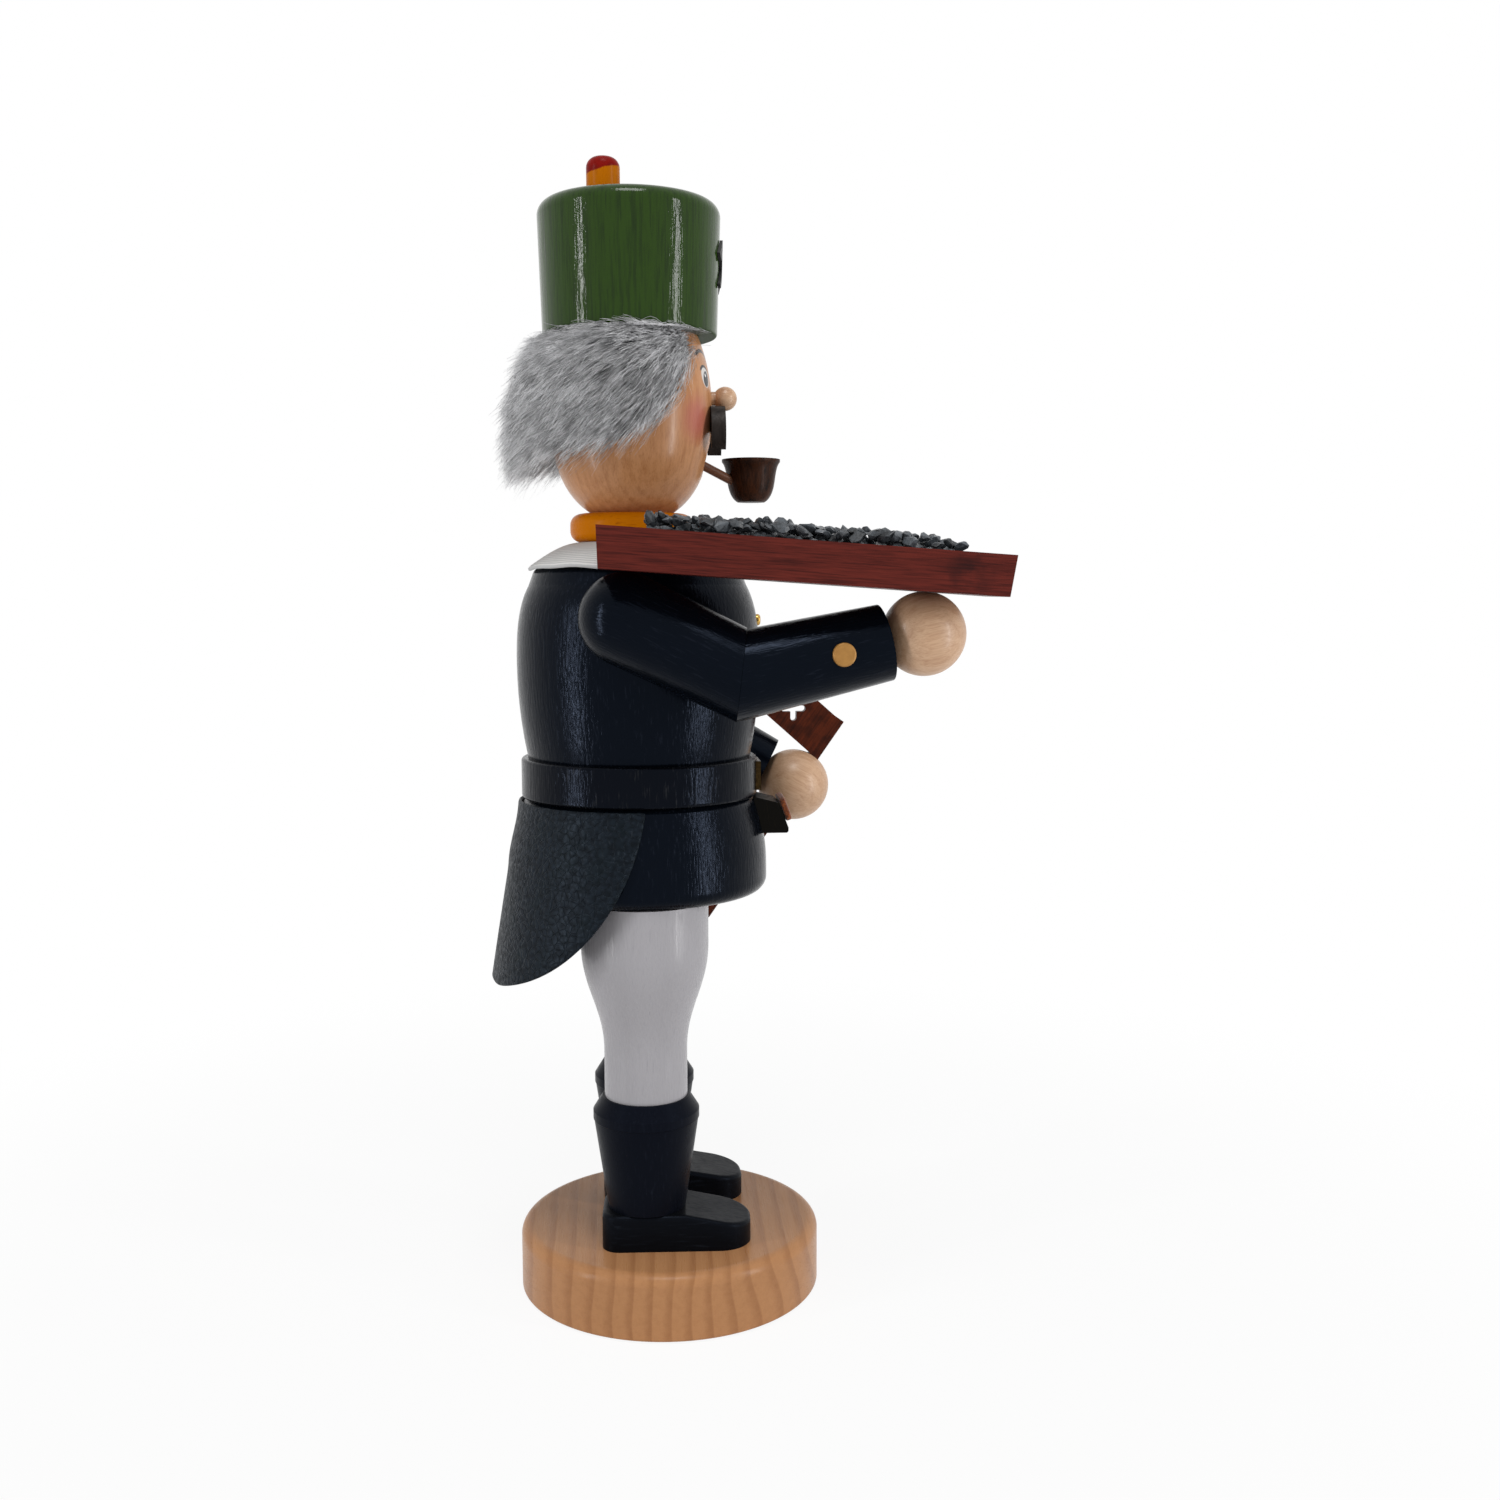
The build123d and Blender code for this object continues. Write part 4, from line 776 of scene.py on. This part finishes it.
def ore_stones(rng, half_width, half_length):
    """Places and sizes of the stones: a heap that falls off to its sides and ends."""
    front_start = 18 * MM
    front_run = 20 * MM
    front_drop = 3.4 * MM
    rear_run = 8 * MM
    rear_drop = 3.6 * MM
    side_drop = 1.4 * MM
    front_bare = 0.55
    rear_bare = 0.3
    missing = 0.14
    jitter_x, jitter_y, jitter_z = 0.8 * MM, 0.9 * MM, 0.5 * MM
    along = int(2 * half_length / ORE_PITCH)
    for layer, (height, spread, size) in enumerate(ORE_LAYERS):
        upper = layer > 0
        across = int(2 * half_width * spread / ORE_PITCH)
        for row in range(along + 1):
            for column in range(across + 1):
                x = ((column + 0.5) / (across + 1) - 0.5) * 2 * half_width * spread
                x += rng.uniform(-jitter_x, jitter_x)
                y = (row / along - 0.5) * 2 * half_length + rng.uniform(-jitter_y, jitter_y)
                ahead = max(0.0, (-y - front_start) / front_run)
                behind = max(0.0, (y - half_length) / rear_run + 1)
                z = height + rng.uniform(-jitter_z, jitter_z) - front_drop * min(1.0, ahead) ** 2
                if upper:
                    z -= side_drop * (x / half_width) ** 2 + rear_drop * behind ** 2
                if upper and (ahead > front_bare or behind > rear_bare or rng.random() < missing):
                    continue
                yield Vector((x, y, z)), size * rng.uniform(0.75, 1.25)


def broken_stone(rng, place, size, half_width, half_length):
    """Random points whose hull is flat, angular and a little longer than wide, within the trough."""
    turn = Matrix.Rotation(rng.uniform(0, math.tau), 3, "Z")
    turn = turn @ Matrix.Rotation(rng.gauss(0, 0.45), 3, "X") @ Matrix.Rotation(rng.gauss(0, 0.45), 3, "Y")
    half = Vector((rng.uniform(0.95, 1.35), rng.uniform(0.7, 1.0), rng.uniform(0.45, 0.75))) * size
    points = []
    for _ in range(rng.randint(16, 24)):
        way = stray(rng, 1).normalized()
        reach = rng.uniform(0.9, 1.0)
        point = place + turn @ Vector((way.x * half.x, way.y * half.y, way.z * half.z)) * reach
        point.x = held(point.x, -half_width, half_width)
        point.y = held(point.y, -half_length, half_length)
        points.append(point)
    return points


def ore_piece():
    """Ore: broken stones heaped in the trough."""
    rng = random.Random(SEED + 1)
    floor_low, floor_high = corners("tray_floor")
    half_width = (floor_high.x - floor_low.x) / 2 - 0.1 * MM
    half_length = BOARD_LENGTH / 2 - 2.3 * MM
    origin = middle("tray_outer_side") - tray_up * (BOARD_HEIGHT / 2)
    origin.x = middle("tray_floor").x
    stones = []
    for place, size in ore_stones(rng, half_width, half_length):
        stones.append(broken_stone(rng, place, size, half_width, half_length))

    shell = bmesh.new()
    tone = shell.faces.layers.float.new("tone")
    for points in stones:
        placed = []
        for x, y, z in points:
            placed.append(shell.verts.new(origin + Vector((x, 0, 0)) + tray_back * y + tray_up * z))
        hull = bmesh.ops.convex_hull(shell, input=placed)
        inside = [item for item in hull["geom_interior"] if isinstance(item, bmesh.types.BMVert)]
        bmesh.ops.delete(shell, geom=inside, context="VERTS")
        light = rng.uniform(0.0, 0.75)
        for item in hull["geom"]:
            if isinstance(item, bmesh.types.BMFace) and item.is_valid:
                item[tone] = light
    bmesh.ops.recalc_face_normals(shell, faces=shell.faces[:])
    mesh = bpy.data.meshes.new("ore_stones")
    shell.to_mesh(mesh)
    shell.free()
    piece = make_piece(
        "ore_stones", mesh, stone_finish(), "upper_body", ["ore_bed", "ore_lumps"])
    edges = piece.modifiers.new("chipped_edges", "BEVEL")
    edges.width = 0.16 * MM
    edges.segments = 1
    edges.limit_method = "ANGLE"


# Hair: long pile from temple to temple, combed back and down, with angles from the back of the head
HAIR_PIECES = ("hair_right_front", "hair_right_side", "hair_right_rear", "hair_right_back",
               "hair_left_back", "hair_left_rear", "hair_left_side", "hair_left_front")
STRANDS = 25000
CLUMPS = 3000
STRAND_STEPS = 6
STRAND_SIDES = 3

# Lowest roots: degrees from the back, millimetres above the head's seat
HAIRLINE = (
    (0, 12.3), (40, 13.0), (80, 14.4), (100, 16.2), (112, 17.8), (118, 19.4), (124, 21.8), (129, 24.0),
    (138, 27.4), (150, 31.4), (160, 34.4))
WIDEST = math.radians(HAIRLINE[-1][0])
TAPER = math.radians(62)    # behind the front edge, where the strands have their full length
EDGE = math.radians(28)     # behind the front edge, where they have their full density
CREST = math.radians(105)   # where the pile stands up most against the brim
TEMPLE = math.radians(108)  # where the hairline turns steep
HAT_RADIUS = 18.5 * MM
RAY_START = 40 * MM         # from the head's axis

brim = corners("hat")[0].z
low_root = head_seat + 11.8 * MM
top_root = brim - 0.5 * MM
head_axis = Vector((0, middle("neck_ring").y, 0))
head_skin = BVHTree.FromObject(cad["head"], bpy.context.evaluated_depsgraph_get())


def hairline(angle):
    """Height of the lowest root at an angle."""
    turn = abs(math.degrees(angle))
    for (turn_a, low_a), (turn_b, low_b) in zip(HAIRLINE, HAIRLINE[1:]):
        if turn <= turn_b:
            return head_seat + (low_a + (low_b - low_a) * (turn - turn_a) / (turn_b - turn_a)) * MM
    return head_seat + HAIRLINE[-1][1] * MM


def from_edge(angle, reach):
    """Share of a reach that an angle lies behind the hair's front edge."""
    return held((WIDEST - abs(angle)) / reach)


def density(angle, height):
    """Share of the full pile above the hairline: it rises over a longer way at the steep temples."""
    steep = held((abs(angle) - TEMPLE) / (0.5 * EDGE))
    return (height - hairline(angle)) / ((3.6 + 5.4 * steep) * MM)


def outward(angle):
    return Vector((math.sin(angle), math.cos(angle), 0))


def on_head(angle, height):
    """Point on the head and its outward normal."""
    way = outward(angle)
    hit, normal, _, _ = head_skin.ray_cast(head_axis + UP * height + way * RAY_START, -way)
    return hit, normal


def new_root(rng):
    """Angle and place of a random root."""
    while True:
        angle = rng.uniform(-WIDEST, WIDEST)
        height = rng.uniform(low_root, top_root)
        if min(density(angle, height) + 0.2, from_edge(angle, EDGE)) > rng.random() ** 0.8:
            hit, _ = on_head(angle, height)
            return angle, hit


def growth(angle, hit):
    """Length, first direction and bend of the strands at a place: short and flat at the temples."""
    brim_reach = 6 * MM
    way = outward(angle)
    combed = BACK - way * BACK.dot(way)
    full = from_edge(angle, TAPER)
    near_top = held((hit.z - (brim - brim_reach)) / brim_reach)
    upright = near_top * max(0.0, 1 - abs(abs(angle) - CREST) / TAPER)
    lift = 0.34 * near_top + 0.22 * upright - 0.22
    droop = 0.42 - 0.2 * near_top - 0.1 * upright
    first = way * (0.16 + 0.6 * full) + combed * (0.8 - 0.2 * full) + UP * lift
    bend = combed * 0.2 - UP * droop - way * 0.12
    length = (3.0 + 7.4 * full) * (1 - 0.3 * near_top) * MM
    return length, first.normalized(), bend


def strand_path(rng, angle, hit, length_range, loose, wavy):
    """Points of a strand from its root, with random length, direction and wave."""
    length, first, bend = growth(angle, hit)
    length *= rng.uniform(*length_range)
    first = first + stray(rng, loose)
    curl = stray(rng, wavy)
    phase = rng.uniform(0, math.tau)
    path = []
    for step in range(STRAND_STEPS + 1):
        share = step / STRAND_STEPS
        wave = curl * (math.sin(phase + 5.5 * share) * share)
        path.append(hit + (first * share + bend * share ** 2 + wave) * length)
    return path


def clear_of_hat(point):
    """The point, moved out to the hat's side where it would lie in the hat."""
    out = Vector((point.x - head_axis.x, point.y - head_axis.y, 0))
    if point.z > brim - 0.4 * MM and out.length < HAT_RADIUS:
        out = out.normalized() * HAT_RADIUS
        return Vector((head_axis.x + out.x, head_axis.y + out.y, point.z))
    return point


def part_at(parts, angle):
    """The piece that holds the hair at an angle."""
    share = (angle + WIDEST) / (2 * WIDEST)
    return parts[HAIR_PIECES[min(len(HAIR_PIECES) - 1, int(share * len(HAIR_PIECES)))]]


def add_strand(part, path, root_radius, tone, root_painted_shade):
    """Adds a thin tube along a path, which tapers to its tip and is darker at the root: painted shade in
    the pile.
    """
    points, faces, tones = part
    begin = len(points)
    for step, point in enumerate(path):
        ahead = path[min(step + 1, STRAND_STEPS)] - path[max(step - 1, 0)]
        across = ahead.orthogonal().normalized()
        third = ahead.normalized().cross(across)
        share = step / STRAND_STEPS
        radius = root_radius * (1 - 0.72 * share ** 1.5)
        for corner in range(STRAND_SIDES):
            turn = math.tau * corner / STRAND_SIDES
            points.append(point + (across * math.cos(turn) + third * math.sin(turn)) * radius)
            # Painted shade and light in the pile: darker towards the root, a little lighter at the tip.
            tones.append(held(tone * (root_painted_shade + (1.1 - root_painted_shade) * share)))
    for step in range(STRAND_STEPS):
        ring = begin + step * STRAND_SIDES
        beyond = ring + STRAND_SIDES
        for corner in range(STRAND_SIDES):
            following = (corner + 1) % STRAND_SIDES
            faces.append((ring + corner, ring + following, beyond + following, beyond + corner))
    tip = begin + STRAND_STEPS * STRAND_SIDES
    faces.append(tuple(range(tip, tip + STRAND_SIDES)))
    faces.append(tuple(reversed(range(begin, begin + STRAND_SIDES))))


def add_hide(parts):
    """Adds the hide under the pile, so that no bare head shows between the strands; its dark tone is
    painted shade.
    """
    slices = 150
    levels = 30
    lowest = 3.0 * MM
    lift = 0.35 * MM
    # The hide's dark tone is painted shade under the pile.
    dark = 0.2
    for column in range(slices):
        for level in range(levels):
            quad = []
            for step_a, step_z in ((0, 0), (1, 0), (1, 1), (0, 1)):
                angle = -WIDEST + (column + step_a) / slices * 2 * WIDEST
                height = low_root + (top_root - low_root) * (level + step_z) / levels
                if height < hairline(angle) + lowest or abs(angle) > WIDEST - 0.8 * EDGE:
                    break
                hit, normal = on_head(angle, height)
                quad.append(hit + normal * lift)
            if len(quad) == 4:
                points, faces, tones = part_at(parts, -WIDEST + (column + 0.5) / slices * 2 * WIDEST)
                faces.append(tuple(range(len(points), len(points) + 4)))
                points += quad
                tones += [dark] * 4


def hair_pieces():
    """Strands that lean towards the clump beside them, in pieces round the head."""
    rng = random.Random(SEED + 2)
    clumps = []
    nearest = KDTree(CLUMPS)
    for number in range(CLUMPS):
        angle, hit = new_root(rng)
        path = strand_path(rng, angle, hit, length_range=(0.94, 1.1), loose=0.14, wavy=0.08)
        clumps.append((path, rng.uniform(-0.28, 0.28)))
        nearest.insert(hit, number)
    nearest.balance()

    parts = {name: ([], [], []) for name in HAIR_PIECES}
    for _ in range(STRANDS):
        angle, hit = new_root(rng)
        own = strand_path(rng, angle, hit, length_range=(0.84, 1.07), loose=0.12, wavy=0.07)
        led, clump_tone = clumps[nearest.find(hit)[1]]
        pull = rng.uniform(0.2, 0.6)
        fringe = max(0.4, min(from_edge(angle, EDGE), 0.4 + density(angle, hit.z)))
        root_radius = rng.uniform(0.05, 0.085) * MM * fringe
        # Tone: lighter near the front edge and towards the back of the head, with random changes per clump
        # and strand.
        toward_back = max(0.0, 1 - abs(angle) / CREST)
        front = 1 - from_edge(angle, TAPER)
        tone = 0.56 + 0.34 * front + 0.28 * toward_back + clump_tone + rng.gauss(0, 0.14)
        path = []
        for step, (mine, theirs) in enumerate(zip(own, led)):
            path.append(clear_of_hat(mine.lerp(theirs, (step / STRAND_STEPS) ** 1.3 * pull)))
        add_strand(part_at(parts, angle), path, root_radius, tone, 0.16 + 0.5 * front)
    add_hide(parts)

    fur = fur_finish()
    for name, (points, faces, tones) in parts.items():
        mesh = bpy.data.meshes.new(name)
        mesh.from_pydata(points, [], faces)
        mesh.shade_smooth()
        mesh.attributes.new("tone", "FLOAT", "POINT").data.foreach_set("value", tones)
        make_piece(name, mesh, fur, "upper_body", ["hair"])


collar_piece()
leather_piece()
flap_piece()
ore_piece()
hair_pieces()


# Camera at the photograph's place
CAMERA_PLACE = Vector((-0.328, 0.00958, 0.14796))
CAMERA_YAW = math.radians(-4.74)
CAMERA_PITCH = math.radians(5.88)
CAMERA_ROLL = math.radians(-0.15)
SENSOR = 36.0
FOCAL_PIXELS = 1571.0
IMAGE_SIDE = 1500.0

ahead = Vector((math.cos(CAMERA_YAW), math.sin(CAMERA_YAW), 0)) * math.cos(CAMERA_PITCH)
ahead -= UP * math.sin(CAMERA_PITCH)
level = Vector((math.sin(CAMERA_YAW), -math.cos(CAMERA_YAW), 0))
above = level.cross(ahead)
right = level * math.cos(CAMERA_ROLL) + above * math.sin(CAMERA_ROLL)
above = above * math.cos(CAMERA_ROLL) - level * math.sin(CAMERA_ROLL)
camera_data = bpy.data.cameras.new("camera")
camera_data.sensor_width = SENSOR
camera_data.lens = SENSOR * FOCAL_PIXELS / IMAGE_SIDE
camera_data.clip_start = 0.01
camera = bpy.data.objects.new("camera", camera_data)
scene.collection.objects.link(camera)
camera.matrix_world = Matrix((
    (right.x, above.x, -ahead.x, CAMERA_PLACE.x),
    (right.y, above.y, -ahead.y, CAMERA_PLACE.y),
    (right.z, above.z, -ahead.z, CAMERA_PLACE.z),
    (0, 0, 0, 1)))
scene.camera = camera


# Soft studio light: two tall boxes beside the camera and a weaker one overhead
LIT_POINT = Vector((0, 0, 0.12))
BOX_DISTANCE = 0.9


def softbox(name, place, width, height, power):
    data = bpy.data.lights.new(name, "AREA")
    data.shape = "RECTANGLE"
    data.size = width
    data.size_y = height
    data.energy = power
    lamp = bpy.data.objects.new(name, data)
    scene.collection.objects.link(lamp)
    lamp.location = place
    lamp.visible_camera = False
    lamp.rotation_euler = (LIT_POINT - place).to_track_quat("-Z", "Y").to_euler()


def beside_camera(degrees):
    """Place at an angle from the camera's side of the object, towards +Y."""
    turn = math.radians(degrees)
    return LIT_POINT + Vector((-math.cos(turn), math.sin(turn), 0)) * BOX_DISTANCE


softbox("left_box", beside_camera(64), width=0.055, height=0.9, power=3.8)
softbox("right_box", beside_camera(-61), width=0.1, height=0.9, power=4.8)
softbox("top_box", Vector((-0.32, 0.0, 0.95)), width=0.3, height=0.3, power=3.2)


def background_rays(tree):
    """1 for rays that should see the white background."""
    path = tree.nodes.new("ShaderNodeLightPath")
    seen = path.outputs["Is Camera Ray"]
    for name in ("Is Glossy Ray", "Is Transmission Ray"):
        both = tree.nodes.new("ShaderNodeMath")
        both.operation = "MAXIMUM"
        tree.links.new(seen, both.inputs[0])
        tree.links.new(path.outputs[name], both.inputs[1])
        seen = both.outputs[0]
    return seen


# White background, with a weaker light from all sides
AMBIENT = 0.36
world = bpy.data.worlds.new("studio")
scene.world = world
world.use_nodes = True
tree = world.node_tree
ambient = tree.nodes["Background"]
ambient.inputs["Color"].default_value = WHITE
ambient.inputs["Strength"].default_value = AMBIENT
backdrop = tree.nodes.new("ShaderNodeBackground")
backdrop.inputs["Color"].default_value = WHITE
choice = tree.nodes.new("ShaderNodeMixShader")
tree.links.new(background_rays(tree), choice.inputs[0])
tree.links.new(ambient.outputs[0], choice.inputs[1])
tree.links.new(backdrop.outputs[0], choice.inputs[2])
tree.links.new(choice.outputs[0], tree.nodes["World Output"].inputs["Surface"])


# Pale floor that fades to the background and keeps a faint shadow
FLOOR_RADIUS = 0.3
FLOOR_BELOW = 0.2 * MM
FLOOR_GLOW = 0.9
FLOOR_FADE = (0.1, 0.28)


def floor_finish():
    """White paper, most of whose light to the camera is a glow that is full at its rim."""
    shade = Shade("floor_white", {"Roughness": 0.9, "Specular IOR Level": 0.1})
    shade.shader.inputs["Base Color"].default_value = (0.9, 0.9, 0.9, 1)
    fade = shade.rise(shade.distance(shade.place, (0, 0, 0)), *FLOOR_FADE, FLOOR_GLOW, 1.0)
    glow = shade.add("Emission")
    glow.inputs["Color"].default_value = WHITE
    blend = shade.add("MixShader")
    shade.feed(blend.inputs[0], shade.math("MULTIPLY", background_rays(shade.tree), fade))
    shade.feed(blend.inputs[1], shade.shader.outputs[0])
    shade.feed(blend.inputs[2], glow.outputs[0])
    shade.feed(shade.tree.nodes["Material Output"].inputs["Surface"], blend.outputs[0])
    return shade.material


floor_mesh = bpy.data.meshes.new("floor")
shell = bmesh.new()
bmesh.ops.create_circle(shell, cap_ends=True, segments=96, radius=FLOOR_RADIUS)
shell.to_mesh(floor_mesh)
shell.free()
floor = bpy.data.objects.new("floor", floor_mesh)
scene.collection.objects.link(floor)
floor.location.z = -FLOOR_BELOW
floor_mesh.materials.append(floor_finish())
